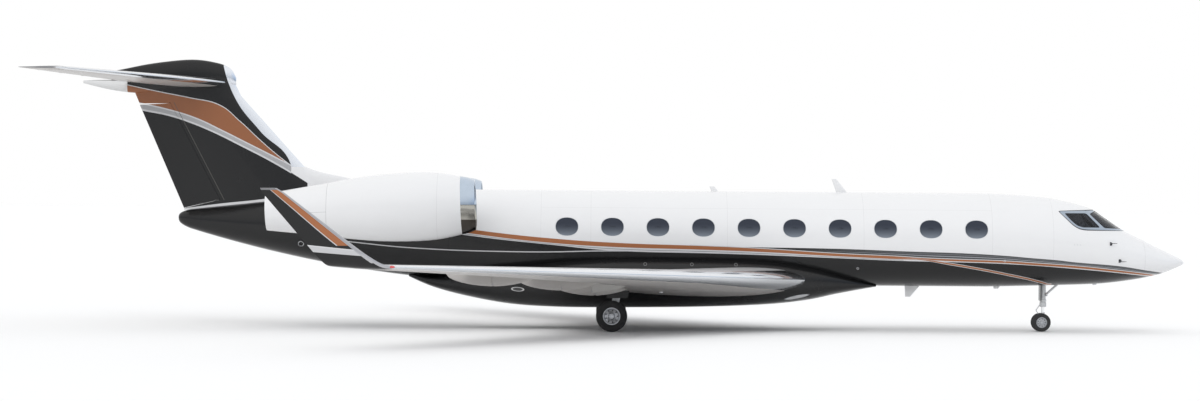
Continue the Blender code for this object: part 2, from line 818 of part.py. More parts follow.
FAIRING_DEPTH = 0.27
FAIRING_HALF_WIDTH = 0.10
FAIRING_FRONT = 1.15
FAIRING_REAR = 1.25
FAIRING_RINGS = 5
FAIRING_POINTS = 7
KNUCKLE_RADIUS = 0.030
KNUCKLE_HALF_LENGTH = 0.05
KNUCKLE_POINTS = 18
SPLIT_GAP = 0.007
RELIEF_ANGLE = math.radians(50)
RELIEF_DEPTH = 0.25
RELIEF_HALF_LENGTH = 0.16


def fairing_half(bm, surface, hinge_station, span, shear, start, end):
    """Part of a canoe-shaped fairing, from one distance aft of the hinge to another."""
    rings = []
    for i in range(FAIRING_RINGS):
        along = mix(start, end, i / (FAIRING_RINGS - 1))
        reach = FAIRING_REAR if along > 0 else FAIRING_FRONT
        fullness = math.sqrt(max(1 - (abs(along) / reach) ** 1.7, 0.004))
        station = hinge_station + along
        top = surface.middle(min(station, surface.trailing(span) - 0.02), span)
        depth = (surface.half(hinge_station, span) + FAIRING_DEPTH) * fullness
        ring = []
        for k in range(FAIRING_POINTS):
            angle = math.pi * k / (FAIRING_POINTS - 1)
            offset = FAIRING_HALF_WIDTH * math.copysign(abs(math.cos(angle)) ** 0.8, math.cos(angle)) * fullness
            lift = top - depth * math.sin(angle) ** 0.7
            ring.append(surface.place(station + shear * offset, span + offset, lift))
        rings.append(ring)
    loft(bm, rings)


class DroppedHinge:
    """Hinge line below a flap, inside its fairings."""

    def __init__(self, movable, spans):
        self.movable = movable
        self.spans = spans
        self.shear = movable.along[0] / movable.along[1]

    def hinge_station(self, span):
        nose = self.movable.noses[0]
        return nose[0] + (span - nose[1]) * self.shear

    def point(self, span):
        """The hinge runs parallel to the flap's nose, at one depth."""
        surface = self.movable.surface
        station = self.hinge_station(span)
        thinnest = surface.half(self.hinge_station(self.spans[1]), self.spans[1])
        nose = self.movable.noses[0]
        level = surface.middle(*nose) + self.movable.climb * (span - nose[1]) / self.movable.along[1]
        return surface.place(station, span, level - thinnest - FAIRING_DEPTH + KNUCKLE_RADIUS + 0.012)

    def line(self):
        return self.point(self.spans[0]), self.point(self.spans[1])


def knuckle(bm, centre, direction, radius, half_length):
    run = direction.normalized() * half_length
    rod(bm, centre - run, centre + run, radius, KNUCKLE_POINTS, 0.5)


INNER_FLAP = (1.80, 4.70, 1.05, 0.98)
OUTER_FLAP = (5.25, 10.15, 0.86, 0.62)
AILERON = (10.25, 14.35, 0.62, 0.36)
INNER_FAIRINGS = (3.15, 4.45)
OUTER_FAIRINGS = (6.00, 9.20)
SPOILERS = (5.65, 9.90, 0.60)
SPOILER_CHORDS = (0.50, 0.34)
SPOILER_THICKNESS = 0.030
SPOILER_AXIS_DEPTH = 0.018
SPOILER_TUBE_RADIUS = 0.0135


def fairing_relief(bm, centre, direction):
    """Wedge below the hinge line that lets the rear half of a fairing swing down."""
    along = direction.normalized()
    aft = Vector((0, 0, 1)).cross(along).normalized()
    if aft.x > 0:
        aft = -aft
    down = along.cross(aft).normalized()
    if down.z > 0:
        down = -down
    reach = RELIEF_DEPTH * math.tan(RELIEF_ANGLE)
    section = (Vector(), down * RELIEF_DEPTH + aft * reach, down * RELIEF_DEPTH)
    loft(bm, [[centre + along * offset + point for point in section]
              for offset in (-RELIEF_HALF_LENGTH, RELIEF_HALF_LENGTH)])


def flap_like(surface, row):
    span_in, span_out, chord_in, chord_out = row
    nose_in = (surface.trailing(span_in) - chord_in, span_in)
    nose_out = (surface.trailing(span_out) - chord_out, span_out)
    return Movable(surface, nose_in, nose_out)


def build_wing(looks, side):
    surface = wing_surface(side)
    tag = side_name(side)
    spans = [row[0] for row in WING_STATIONS]
    bm = bmesh.new()
    surface.solid(bm, spans)
    wing = part(f"wing_{tag}", bm, looks["grey"])
    jack_z = surface.middle(WING_JACK_STATION, WING_JACK_Y) - surface.half(WING_JACK_STATION, WING_JACK_Y)
    add_jack_pad(wing, WING_JACK_STATION, side * WING_JACK_Y, jack_z)
    inner = flap_like(surface, INNER_FLAP)
    outer = flap_like(surface, OUTER_FLAP)
    aileron = flap_like(surface, AILERON)
    for name, movable, fairings in (("inner", inner, INNER_FAIRINGS), ("outer", outer, OUTER_FAIRINGS)):
        hinge = DroppedHinge(movable, fairings)
        for i, span in enumerate(fairings):
            bm = bmesh.new()
            fairing_half(bm, surface, hinge.hinge_station(span), span, hinge.shear, -FAIRING_FRONT, 0.03)
            unite(wing, tool(f"fairing_front_{name}_{i}_{tag}", bm))
    bays = (("inner", inner, (0.4, 1.2)), ("outer", outer, (0.4, 1.2)), ("aileron", aileron, (0.4, 0.4)))
    for name, movable, height in bays:
        bm = bmesh.new()
        movable.bay(bm, height)
        cut(wing, tool(f"bay_{name}_{tag}", bm))
    for name, movable, fairings in (("inner", inner, INNER_FAIRINGS), ("outer", outer, OUTER_FAIRINGS)):
        hinge = DroppedHinge(movable, fairings)
        first, last = hinge.line()
        bm = bmesh.new()
        cove_radius = (KNUCKLE_RADIUS + SEAM) / math.cos(math.pi / KNUCKLE_POINTS)
        for span in fairings:
            knuckle(bm, hinge.point(span), last - first, cove_radius, 0.4)
        cut(wing, tool(f"knuckle_cove_{name}_{tag}", bm))
        build_flap(looks, f"flap_{name}_{tag}", movable, hinge)
    build_aileron(looks, f"aileron_{tag}", aileron)
    build_spoilers(looks, wing, surface, tag)
    build_winglet(looks, side)


def build_flap(looks, name, movable, hinge):
    first, last = hinge.line()
    bm = bmesh.new()
    movable.solid(bm)
    flap = part(name, bm, looks["grey"], first)
    for i, span in enumerate(hinge.spans):
        bm = bmesh.new()
        fairing_half(bm, movable.surface, hinge.hinge_station(span), span, hinge.shear, SPLIT_GAP, FAIRING_REAR)
        unite(flap, tool(f"{name}_fairing_{i}", bm))
        bm = bmesh.new()
        fairing_relief(bm, hinge.point(span), last - first)
        cut(flap, tool(f"{name}_relief_{i}", bm))
        bm = bmesh.new()
        knuckle(bm, hinge.point(span), last - first, KNUCKLE_RADIUS, KNUCKLE_HALF_LENGTH)
        unite(flap, tool(f"{name}_knuckle_{i}", bm))


def build_aileron(looks, name, movable, gap=END_GAP):
    bm = bmesh.new()
    movable.solid(bm, gap)
    surface = part(name, bm, looks["grey"], movable.hinge_points()[0])
    bm = bmesh.new()
    movable.stubs(bm, gap)
    unite(surface, tool(f"{name}_stubs", bm))
    return surface


def spoiler_axis(surface):
    span_in, span_out, fraction = SPOILERS
    ends = []
    for span in (span_in, span_out):
        station = surface.station_at(fraction, span)
        ends.append((station, span, surface.middle(station, span) + surface.half(station, span)))
    return ends


def build_spoilers(looks, wing, surface, tag):
    """Three panels on one hinge tube, in a pocket of the upper skin."""
    ends = spoiler_axis(surface)
    run = (ends[1][0] - ends[0][0], ends[1][1] - ends[0][1])
    length = math.hypot(*run)
    along = (run[0] / length, run[1] / length)
    across = (along[1], -along[0])

    def rings(shift, front, rear_gap, top, bottom):
        result = []
        for (station, span, lift), chord, sign in zip(ends, SPOILER_CHORDS, (1, -1)):
            points = []
            rear = chord + rear_gap
            for reach, depth in ((front, top), (rear, top), (rear, bottom), (front, bottom)):
                s = station + along[0] * shift * sign + across[0] * reach
                w = span + along[1] * shift * sign + across[1] * reach
                upper = surface.middle(s, w) + surface.half(s, w)
                points.append(surface.place(s, w, upper + depth))
            result.append(points)
        return result

    bm = bmesh.new()
    loft(bm, rings(0.0, -0.032, 0.012, 0.06, -0.052))
    cut(wing, tool(f"spoiler_pocket_{tag}", bm))
    bm = bmesh.new()
    loft(bm, rings(END_GAP, 0.0, 0.0, 0.0, -SPOILER_THICKNESS))
    axis = [surface.place(s, w, lift - SPOILER_AXIS_DEPTH) for s, w, lift in ends]
    panel = part(f"spoilers_{tag}", bm, looks["white"], axis[0])
    direction = (axis[1] - axis[0]).normalized()
    seat = SEAM + SPOILER_TUBE_RADIUS * abs(direction.z)
    bm = bmesh.new()
    rod(bm, axis[0] + direction * seat, axis[1] - direction * seat, SPOILER_TUBE_RADIUS, 10)
    unite(panel, tool(f"spoiler_tube_{tag}", bm))
    bm = bmesh.new()
    for share in (1 / 3, 2 / 3):
        station = mix(ends[0][0], ends[1][0], share)
        span = mix(ends[0][1], ends[1][1], share)
        corners = []
        for reach, offset in ((0.03, -0.006), (0.9, -0.006), (0.9, 0.006), (0.03, 0.006)):
            corners.append((station + across[0] * reach + along[0] * offset,
                            span + across[1] * reach + along[1] * offset))
        lift = mix(ends[0][2], ends[1][2], share)
        loft(bm, [[surface.place(s, w, lift + height) for s, w in corners] for height in (-0.3, 0.3)])
    cut(panel, tool(f"spoiler_slits_{tag}", bm))


# Winglet: span position, rise above the wing tip, leading edge, chord, tilt in degrees
WINGLET_THICKNESS = 0.09
WINGLET_ROWS = (
    (15.10 + SEAM, 0.0, 22.013, 1.429, 0.0),
    (15.28, 0.05, 22.270, 1.400, 35.0),
    (15.42, 0.24, 22.600, 1.270, 62.0),
    (15.50, 0.55, 23.030, 1.110, 78.0),
    (15.66, 1.78, 24.650, 0.540, 82.0),
    (15.69, 1.90, 24.850, 0.400, 82.0),
)


def build_winglet(looks, side):
    """Curved up from the wing tip, swept, with a thin section."""
    base_z = WING_STATIONS[-1][3]
    rings = []
    for span, rise, leading, chord, tilt in WINGLET_ROWS:
        angle = math.radians(tilt)
        ring = []
        for sign, fractions in ((1, UPPER_FRACTIONS), (-1, tuple(reversed(UPPER_FRACTIONS)))):
            for fraction in fractions:
                offset = sign * max(chord * WINGLET_THICKNESS * half_thickness(fraction), TRAILING_EDGE_HALF)
                ring.append(at(leading + chord * fraction, side * (span - offset * math.sin(angle)),
                               base_z + rise + offset * math.cos(angle)))
            if sign == 1:
                ring.append(at(leading, side * span, base_z + rise))
        rings.append(ring)
    bm = bmesh.new()
    loft(bm, rings)
    part(f"winglet_{side_name(side)}", bm, looks["dark"])


# Belly fairing: station, bottom, half width, top edge
FAIRING_SECTIONS = (
    (9.00, 1.272, 0.30, 1.33),
    (9.50, 1.185, 0.66, 1.50),
    (10.20, 1.050, 1.00, 1.74),
    (11.00, 0.880, 1.30, 1.96),
    (12.20, 0.742, 1.52, 2.14),
    (14.20, 0.655, 1.60, 2.20),
    (16.60, 0.621, 1.60, 2.20),
    (18.20, 0.622, 1.54, 2.10),
    (19.60, 0.700, 1.36, 1.86),
    (20.90, 0.920, 1.02, 1.66),
    (21.90, 1.180, 0.62, 1.52),
    (22.60, 1.470, 0.30, 1.60),
)


def build_belly_fairing(looks):
    """Saddle under the cabin, which takes the wing roots."""
    bm = bmesh.new()
    rings = []
    for station, bottom, half_width, top in FAIRING_SECTIONS:
        ring = []
        centre = mix(bottom, top, 0.5)
        for i in range(20):
            angle = 2 * math.pi * i / 20
            c, s = math.cos(angle), math.sin(angle)
            y = half_width * math.copysign(abs(s) ** 0.72, s)
            z = centre + (top - bottom) / 2 * math.copysign(abs(c) ** 0.72, c)
            ring.append(at(station, y, z))
        rings.append(ring)
    loft(bm, rings)
    fairing = part("belly_fairing", bm, looks["grey"])
    ahead = FAIRING_SECTIONS[0][0] - 1.0
    cut(fairing, fuselage_envelope("fuselage_envelope", (ahead, CABIN_END) + AFT_RINGS[1:], -SEAM))
    for side in (1, -1):
        surface = wing_surface(side)
        bm = bmesh.new()
        rings = [surface.ring(row[0], SEAM * 2) for row in WING_STATIONS[:2]]
        inward = [point - Vector((0, side * SEAM, 0)) for point in rings[0]]
        loft(bm, [inward] + rings[1:])
        cut(fairing, tool(f"wing_root_{side_name(side)}", bm))


# Engines


def nacelle_axis(side):
    base = at(NACELLE_FRONT, side * NACELLE_Y, NACELLE_FRONT_Z)
    return base, Vector((-math.cos(NACELLE_DROOP), 0, -math.sin(NACELLE_DROOP)))


LIP_SEAM = 0.40
OUTER_LINE = ((0.40, 0.825), (0.95, 0.930), (1.60, 0.975), (2.60, 0.950), (3.50, 0.860), (4.22, 0.750),
              (5.93, 0.525))
INNER_LINE = ((5.93, 0.510), (4.22, 0.660), (2.60, 0.660), (1.20, 0.640), (0.40, 0.625))
LIP_LINE = ((0.40, 0.825), (0.20, 0.785), (0.05, 0.730), (0.0, 0.700), (0.04, 0.660), (0.20, 0.630), (0.40, 0.625))
FAN_FRONT = 1.00
FAN_REAR = 1.24
FAN_RADIUS = 0.615
CORE_FRONT = 1.26
STRUT_HALF = 0.02


def build_engine(looks, side):
    tag = side_name(side)
    base, axis = nacelle_axis(side)
    bm = bmesh.new()
    shift = [(u + (SEAM if u == LIP_SEAM else 0), r) for u, r in OUTER_LINE + INNER_LINE]
    turned(bm, base, axis, shift, NACELLE_POINTS, closed=True)
    part(f"nacelle_{tag}", bm, looks["white"])
    bm = bmesh.new()
    turned(bm, base, axis, LIP_LINE, NACELLE_POINTS, closed=True)
    part(f"inlet_lip_{tag}", bm, looks["metal"])

    bm = bmesh.new()
    core = ((CORE_FRONT, 0.16), (CORE_FRONT, 0.40), (1.60, 0.46), (4.10, 0.44), (4.90, 0.30), (5.60, 0.06))
    turned(bm, base, axis, core, 20)
    engine = part(f"engine_core_{tag}", bm, looks["steel"])
    bm = bmesh.new()
    up = Vector((0, 0, 1)) - axis * axis.z
    for angle in (45, 135, 225, 315):
        turn = math.radians(angle)
        out = (up.normalized() * math.cos(turn) + axis.cross(up).normalized() * math.sin(turn))
        flat = axis.cross(out)
        inner_wall = 0.660 - STRUT_HALF * math.tan(math.pi / NACELLE_POINTS) - SEAM
        ring = []
        for u, w in ((2.65, -STRUT_HALF), (3.15, -STRUT_HALF), (3.15, STRUT_HALF), (2.65, STRUT_HALF)):
            ring.append(base + axis * u + flat * w)
        loft(bm, [[p + out * reach for p in ring] for reach in (0.30, inner_wall)])
    unite(engine, tool(f"core_struts_{tag}", bm))
    build_fan(looks, tag, base, axis)
    build_pylon(looks, side, base, axis)


def build_fan(looks, tag, base, axis):
    """Spinner, hub and blades in one piece."""
    bm = bmesh.new()
    spinner = ((0.72, 0.012), (0.80, 0.090), (0.92, 0.150), (FAN_FRONT + 0.02, 0.185),
               (FAN_REAR, 0.190), (CORE_FRONT - SEAM, 0.10))
    turned(bm, base, axis, spinner, 12)
    fan = part(f"fan_{tag}", bm, looks["steel"], base + axis * FAN_FRONT)
    up = (Vector((0, 0, 1)) - axis * axis.z).normalized()
    other = axis.cross(up)
    bm = bmesh.new()
    for i in range(FAN_BLADES):
        angle = 2 * math.pi * i / FAN_BLADES
        out = up * math.cos(angle) + other * math.sin(angle)
        around = axis.cross(out)
        rings = []
        for radius, twist, chord in ((0.15, 35, 0.15), (FAN_RADIUS, 60, 0.21)):
            lean = math.radians(twist)
            along = axis * math.cos(lean) + around * math.sin(lean)
            thick = axis * -math.sin(lean) + around * math.cos(lean)
            centre = base + axis * (FAN_FRONT + FAN_REAR) / 2 + out * radius
            rings.append([centre + along * (chord / 2 * a) + thick * (0.008 * b)
                          for a, b in ((-1, 0), (0, 1), (1, 0), (0, -1))])
        loft(bm, rings)
    unite(fan, tool(f"fan_blades_{tag}", bm))


def build_pylon(looks, side, base, axis):
    """Streamlined arm from the fuselage to the nacelle."""
    bm = bmesh.new()
    rings = []
    for y, front, rear in ((0.55, 21.20, 25.6), (NACELLE_Y - 0.55, 21.45, 25.35)):
        ring = []
        for fraction, half in ((0.0, 0.01), (0.06, 0.075), (0.25, 0.12), (0.60, 0.11), (1.0, 0.012)):
            ring.append((mix(front, rear, fraction), half))
        points = []
        for sign, row in ((1, ring), (-1, ring[::-1])):
            for station, half in row:
                z = NACELLE_FRONT_Z - 0.03 - (station - NACELLE_FRONT) * math.tan(NACELLE_DROOP)
                points.append(at(station, side * y, z + sign * half))
        rings.append(points)
    loft(bm, rings)
    pylon = part(f"pylon_{side_name(side)}", bm, looks["white"])
    cut(pylon, bpy.data.objects["fuselage_envelope"])
    bm = bmesh.new()
    shell = [(u, r + SEAM) for u, r in OUTER_LINE]
    turned(bm, base, axis, shell, NACELLE_POINTS)
    cut(pylon, tool(f"nacelle_envelope_{side_name(side)}", bm))


# Tail: junction body at the top of the fin, as station, top, bottom and half width
JUNCTION_SECTIONS = (
    (27.70, 7.24, 7.02, 0.04),
    (27.87, 7.50, 6.92, 0.13),
    (28.25, 7.66, 6.88, 0.19),
    (29.00, 7.753, 6.86, 0.22),
    (30.10, 7.64, 6.84, 0.20),
    (31.00, 7.46, 6.86, 0.12),
    (31.34, 7.39, 7.02, 0.03),
)
BULLET_SECTIONS = (
    (30.20, 7.00, 6.80, 0.10),
    (30.70, 7.10, 6.77, 0.15),
    (31.40, 7.14, 6.86, 0.13),
    (32.16, 7.12, 7.04, 0.03),
)
DORSAL_SECTIONS = (
    (22.60, 3.98, 0.05),
    (23.80, 4.20, 0.09),
    (24.60, 4.37, 0.11),
    (25.23, 4.497, 0.13),
    (25.70, 4.66, 0.15),
    (26.30, 4.90, 0.16),
)
RUDDER_HINGE = ((28.15, 3.66), (29.64, 6.497))
RUDDER_END_GAP = 0.022


def egg_rings(sections, grow=0.0, count=12):
    rings = []
    for station, top, bottom, half_width in sections:
        ring = []
        for i in range(count):
            angle = 2 * math.pi * i / count
            ring.append(at(station, (half_width + grow) * math.sin(angle),
                           (top + bottom) / 2 + ((top - bottom) / 2 + grow) * math.cos(angle)))
        rings.append(ring)
    return rings


def build_fin(looks):
    surface = fin_surface()
    spans = [row[0] for row in FIN_STATIONS]
    bm = bmesh.new()
    surface.solid(bm, spans)
    fin = part("fin", bm, looks["dark"])
    bm = bmesh.new()
    loft(bm, egg_rings(JUNCTION_SECTIONS))
    unite(fin, tool("fin_junction", bm))
    bm = bmesh.new()
    loft(bm, egg_rings(BULLET_SECTIONS))
    unite(fin, tool("fin_bullet", bm))
    bm = bmesh.new()
    loft(bm, egg_rings([(s, top, 3.3, width) for s, top, width in DORSAL_SECTIONS]))
    unite(fin, tool("dorsal_fillet", bm))
    cut(fin, fuselage_envelope("tail_envelope", (20.2, 21.6, 22.9, 24.2, 25.5) + CONE_RINGS, -SEAM))
    tail_low = (surface.trailing(3.364), 3.40)
    tail_high = (surface.trailing(6.472), 6.472)
    opening = Movable(surface, *RUDDER_HINGE, tail_low, tail_high)
    rudder_tails = ((tail_low[0], tail_low[1] + 0.004), (tail_high[0], tail_high[1] - 0.028))
    bm = bmesh.new()
    opening.bay(bm, (0.5, 0.5))
    cut(fin, tool("rudder_bay", bm))
    rudder = Movable(surface, *RUDDER_HINGE, *rudder_tails)
    build_aileron(looks, "rudder", rudder, RUDDER_END_GAP)


ELEVATOR = (0.80, 4.92)
ELEVATOR_FRACTION = 0.70


STABILIZER_TIP = ((5.10, 31.77, 1.25, 7.275, 0.09, 0.0), (5.28, 32.02, 1.045, 7.282, 0.045, 0.0))


def build_stabilizer(looks, side):
    surface = stabilizer_surface(side)
    tag = side_name(side)
    bm = bmesh.new()
    rings = [surface.ring(row[0]) for row in STABILIZER_STATIONS]
    tip = Surface(STABILIZER_TIP, surface.place)
    rings.append(tip.ring(5.28))
    loft(bm, rings)
    stabilizer = part(f"stabilizer_{tag}", bm, looks["grey"])
    bm = bmesh.new()
    fin_surface().solid(bm, [row[0] for row in FIN_STATIONS[1:]], SEAM)
    cut(stabilizer, tool(f"fin_seat_{tag}", bm))
    for name, sections in (("junction", JUNCTION_SECTIONS), ("bullet", BULLET_SECTIONS)):
        bm = bmesh.new()
        loft(bm, egg_rings(sections, SEAM))
        cut(stabilizer, tool(f"{name}_seat_{tag}", bm))
    noses = [(surface.station_at(ELEVATOR_FRACTION, span), span) for span in ELEVATOR]
    elevator = Movable(surface, *noses)
    bm = bmesh.new()
    elevator.bay(bm)
    cut(stabilizer, tool(f"elevator_bay_{tag}", bm))
    build_aileron(looks, f"elevator_{tag}", elevator)


# Landing gear


def tyre_line(radius, width, rim):
    """Closed tyre profile about the axle; both radii are to the flats of the faceted wheel."""
    half = width / 2
    flat = radius / math.cos(math.pi / WHEEL_POINTS)
    rim = rim / math.cos(math.pi / WHEEL_POINTS)
    return ((-half * 0.70, rim), (-half, rim + (flat - rim) * 0.45), (-half * 0.88, rim + (flat - rim) * 0.84),
            (-half * 0.42, flat), (half * 0.42, flat), (half * 0.88, rim + (flat - rim) * 0.84),
            (half, rim + (flat - rim) * 0.45), (half * 0.70, rim))


def hubs_line(spread, width, rim, axle_radius):
    """Open profile of two dished hubs on one axle."""
    half = width / 2
    rim = rim / math.cos(math.pi / WHEEL_POINTS) - SEAM
    right = ((spread - half * 0.75, axle_radius), (spread - half * 0.75, rim), (spread + half * 0.75, rim),
             (spread + half * 0.75, rim * 0.88), (spread + half * 0.10, rim * 0.55))
    left = tuple((-along, radius) for along, radius in reversed(right))
    return left + right


def tyre_names(name, side, centre):
    if name == "nose_wheels":
        return f"nose_tyre_{side_name(side)}"
    place = "outer" if side * centre.y > 0 else "inner"
    return f"{name.replace('wheels', 'tyre')}_{place}"


def build_wheels(looks, name, centre, spread, radius, width, rim, axle_radius):
    """Two tyres, and their two hubs on one axle."""
    for side in (1, -1):
        middle = centre + Vector((0, side * spread, 0))
        bm = bmesh.new()
        turned(bm, middle, (0, 1, 0), tyre_line(radius, width, rim), WHEEL_POINTS, closed=True, phase=0.5)
        part(tyre_names(name, side, centre), bm, looks["tyre"], middle)
    bm = bmesh.new()
    turned(bm, centre, (0, 1, 0), hubs_line(spread, width, rim, axle_radius), WHEEL_POINTS, phase=0.5)
    part(f"{name}_hubs", bm, looks["steel"], centre)


def build_nose_gear(looks):
    station = NOSE_GEAR_STATION
    leg_bottom = 0.86
    axle = at(station + NOSE_TRAIL, 0, NOSE_TYRE_RADIUS)
    bm = bmesh.new()
    rod(bm, at(station, 0, leg_bottom), at(station, 0, 1.75), 0.085, 16)
    leg = part("nose_gear_leg", bm, looks["gear"])
    bm = bmesh.new()
    rod(bm, at(station - 0.02, 0, 1.02), at(station - 0.75, 0, 1.70), 0.035, 10)
    unite(leg, tool("nose_drag_strut", bm))
    bm = bmesh.new()
    outline = ((0.07, -0.20), (0.10, -0.20), (0.10, 0.20), (0.07, 0.20))
    loft(bm, [[at(station + s, y, z) for s, y in outline] for z in (0.90, 1.46)])
    unite(leg, tool("nose_leg_door", bm))
    cut(leg, fuselage_envelope("nose_gear_seat", NOSE_RINGS, -SEAM))

    bm = bmesh.new()
    rod(bm, at(station, 0, 0.72), at(station, 0, leg_bottom - SEAM), 0.105, 16)
    fork = part("nose_gear_fork", bm, looks["gear"], at(station, 0, 0.5))
    bm = bmesh.new()
    outline = ((-0.05, -0.05), (0.075, -0.05), (0.075, 0.05), (-0.05, 0.05))
    loft(bm, [[at(station + s, y, z) for s, y in outline] for z in (0.30, 0.75)])
    unite(fork, tool("nose_piston", bm))
    bm = bmesh.new()
    rod(bm, axle - Vector((0, 0.0725, 0)), axle + Vector((0, 0.0725, 0)), 0.065, 16)
    unite(fork, tool("nose_axle_bush", bm))
    bm = bmesh.new()
    across = Vector((0, 0.3, 0))
    bore_radius = (NOSE_AXLE_RADIUS + SEAM) / math.cos(math.pi / WHEEL_POINTS)
    rod(bm, axle - across, axle + across, bore_radius, WHEEL_POINTS)
    cut(fork, tool("nose_axle_bore", bm))
    tyre = (NOSE_TYRE_RADIUS, NOSE_TYRE_WIDTH)
    build_wheels(looks, "nose_wheels", axle, NOSE_WHEEL_Y, *tyre, NOSE_RIM_RADIUS, NOSE_AXLE_RADIUS)


def build_main_gear(looks, side):
    tag = side_name(side)
    y = side * MAIN_GEAR_Y
    axle = at(MAIN_GEAR_STATION, y, MAIN_TYRE_RADIUS)
    surface = wing_surface(side)
    inside_wing = surface.middle(MAIN_LEG_STATION, MAIN_GEAR_Y)
    top = at(MAIN_LEG_STATION - 0.05, y, inside_wing)
    foot = at(MAIN_LEG_STATION + 0.12, y, MAIN_TYRE_RADIUS + 0.02)
    middle = top.lerp(foot, 0.66)
    bm = bmesh.new()
    rod(bm, top, middle, 0.105, 12)
    leg = part(f"main_leg_{tag}", bm, looks["gear"])
    pieces = {}
    bm = bmesh.new()
    rod(bm, top.lerp(foot, 0.6), foot, 0.075, 10)
    pieces["piston"] = bm
    bm = bmesh.new()
    rod(bm, axle - Vector((0, 0.125, 0)), axle + Vector((0, 0.125, 0)), 0.085, 12)
    pieces["bush"] = bm
    bm = bmesh.new()
    rod(bm, at(MAIN_LEG_STATION, y, 0.95), at(MAIN_LEG_STATION - 0.1, y - side * 0.38, inside_wing), 0.04, 8)
    pieces["side_stay"] = bm
    bm = bmesh.new()
    low, high = 0.95, 1.19
    outline = ((-0.30, low), (0.28, low), (0.34, high), (-0.36, high))
    loft(bm, [[at(MAIN_LEG_STATION + s, y + side * w, z) for s, z in outline] for w in (0.09, 0.13)])
    pieces["door"] = bm
    for name, piece in pieces.items():
        unite(leg, tool(f"main_{name}_{tag}", piece))
    bm = bmesh.new()
    across = Vector((0, 0.5, 0))
    bore_radius = (MAIN_AXLE_RADIUS + SEAM) / math.cos(math.pi / WHEEL_POINTS)
    rod(bm, axle - across, axle + across, bore_radius, WHEEL_POINTS)
    cut(leg, tool(f"main_axle_bore_{tag}", bm))
    bm = bmesh.new()
    rings = [surface.ring(row[0], SEAM) for row in WING_STATIONS[:2]]
    loft(bm, rings)
    cut(leg, tool(f"main_leg_seat_{tag}", bm))
    tyre = (MAIN_TYRE_RADIUS, MAIN_TYRE_WIDTH)
    build_wheels(looks, f"main_wheels_{tag}", axle, MAIN_WHEEL_Y, *tyre, MAIN_RIM_RADIUS, MAIN_AXLE_RADIUS)


def build():
    clear_scene()
    looks = {
        "white": look("white paint", (0.86, 0.86, 0.87), 0.22),
        "dark": look("charcoal paint", (0.045, 0.048, 0.055), 0.25),
        "grey": look("grey paint", (0.42, 0.40, 0.38), 0.35),
        "metal": look("polished metal", (0.80, 0.80, 0.82), 0.15, 1.0),
        "steel": look("steel", (0.45, 0.45, 0.47), 0.35, 1.0),
        "gear": look("gear paint", (0.70, 0.71, 0.72), 0.40),
        "tyre": look("tyre rubber", (0.02, 0.02, 0.022), 0.80),
        "glass": look("tinted glass", (0.03, 0.05, 0.08), 0.05),
        "carpet": look("carpet", (0.30, 0.26, 0.22), 0.95),
        "lining": look("lining", (0.72, 0.68, 0.60), 0.60),
        "leather": look("leather", (0.42, 0.26, 0.16), 0.55),
    }
    build_fuselage(looks)
    build_door(looks)
    build_interior(looks)
    build_belly_fairing(looks)
    build_fin(looks)
    build_nose_gear(looks)
    for side in (1, -1):
        build_wing(looks, side)
        build_stabilizer(looks, side)
        build_engine(looks, side)
        build_main_gear(looks, side)


build()
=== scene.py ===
"""Finished look of the business jet: smooth skins, paint, glass, engines, landing gear and studio.

Metres. +X points to the nose, +Y to the port side, +Z up. A "station" is a distance aft of the nose tip.
"""

from math import ceil, copysign, cos, exp, hypot, pi, radians, sin, sqrt, tan

import bmesh
import bpy
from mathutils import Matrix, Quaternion, Vector


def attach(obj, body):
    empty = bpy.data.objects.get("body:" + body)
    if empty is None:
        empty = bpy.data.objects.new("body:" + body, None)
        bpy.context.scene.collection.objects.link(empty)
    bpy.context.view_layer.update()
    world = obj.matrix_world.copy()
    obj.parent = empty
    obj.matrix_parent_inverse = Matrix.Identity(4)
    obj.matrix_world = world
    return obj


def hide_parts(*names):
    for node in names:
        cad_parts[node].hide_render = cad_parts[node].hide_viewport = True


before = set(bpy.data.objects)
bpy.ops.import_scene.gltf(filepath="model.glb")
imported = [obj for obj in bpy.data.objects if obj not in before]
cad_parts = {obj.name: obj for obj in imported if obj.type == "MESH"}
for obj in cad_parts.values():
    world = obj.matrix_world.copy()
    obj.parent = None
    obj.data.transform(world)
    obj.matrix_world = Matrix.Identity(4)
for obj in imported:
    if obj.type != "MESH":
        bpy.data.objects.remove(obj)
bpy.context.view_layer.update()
LOOKS = {}

# Fuselage
LENGTH = 33.07
CABIN_RADIUS = 1.36
CABIN_AXIS_Z = 2.66
WALL = 0.10
RADOME_END = 1.25
NOSE_CAVITY_START = 1.75
NOSE_END = 5.75
CABIN_END = 18.75
AFT_END = 26.86
CONE_END = 28.95
CONE_CAP = 0.40
BLUNT_TIP = 0.05
MAX_HALF_WIDTH = 1.7
RING_POINTS = 96
# Stations, closer together towards the tip
RADOME_RINGS = (0.0008, 0.004, 0.010, 0.020, 0.035, 0.06, 0.09, 0.13, 0.20, 0.30, 0.40, 0.55, 0.73, 0.95,
                1.10, RADOME_END - 0.001)
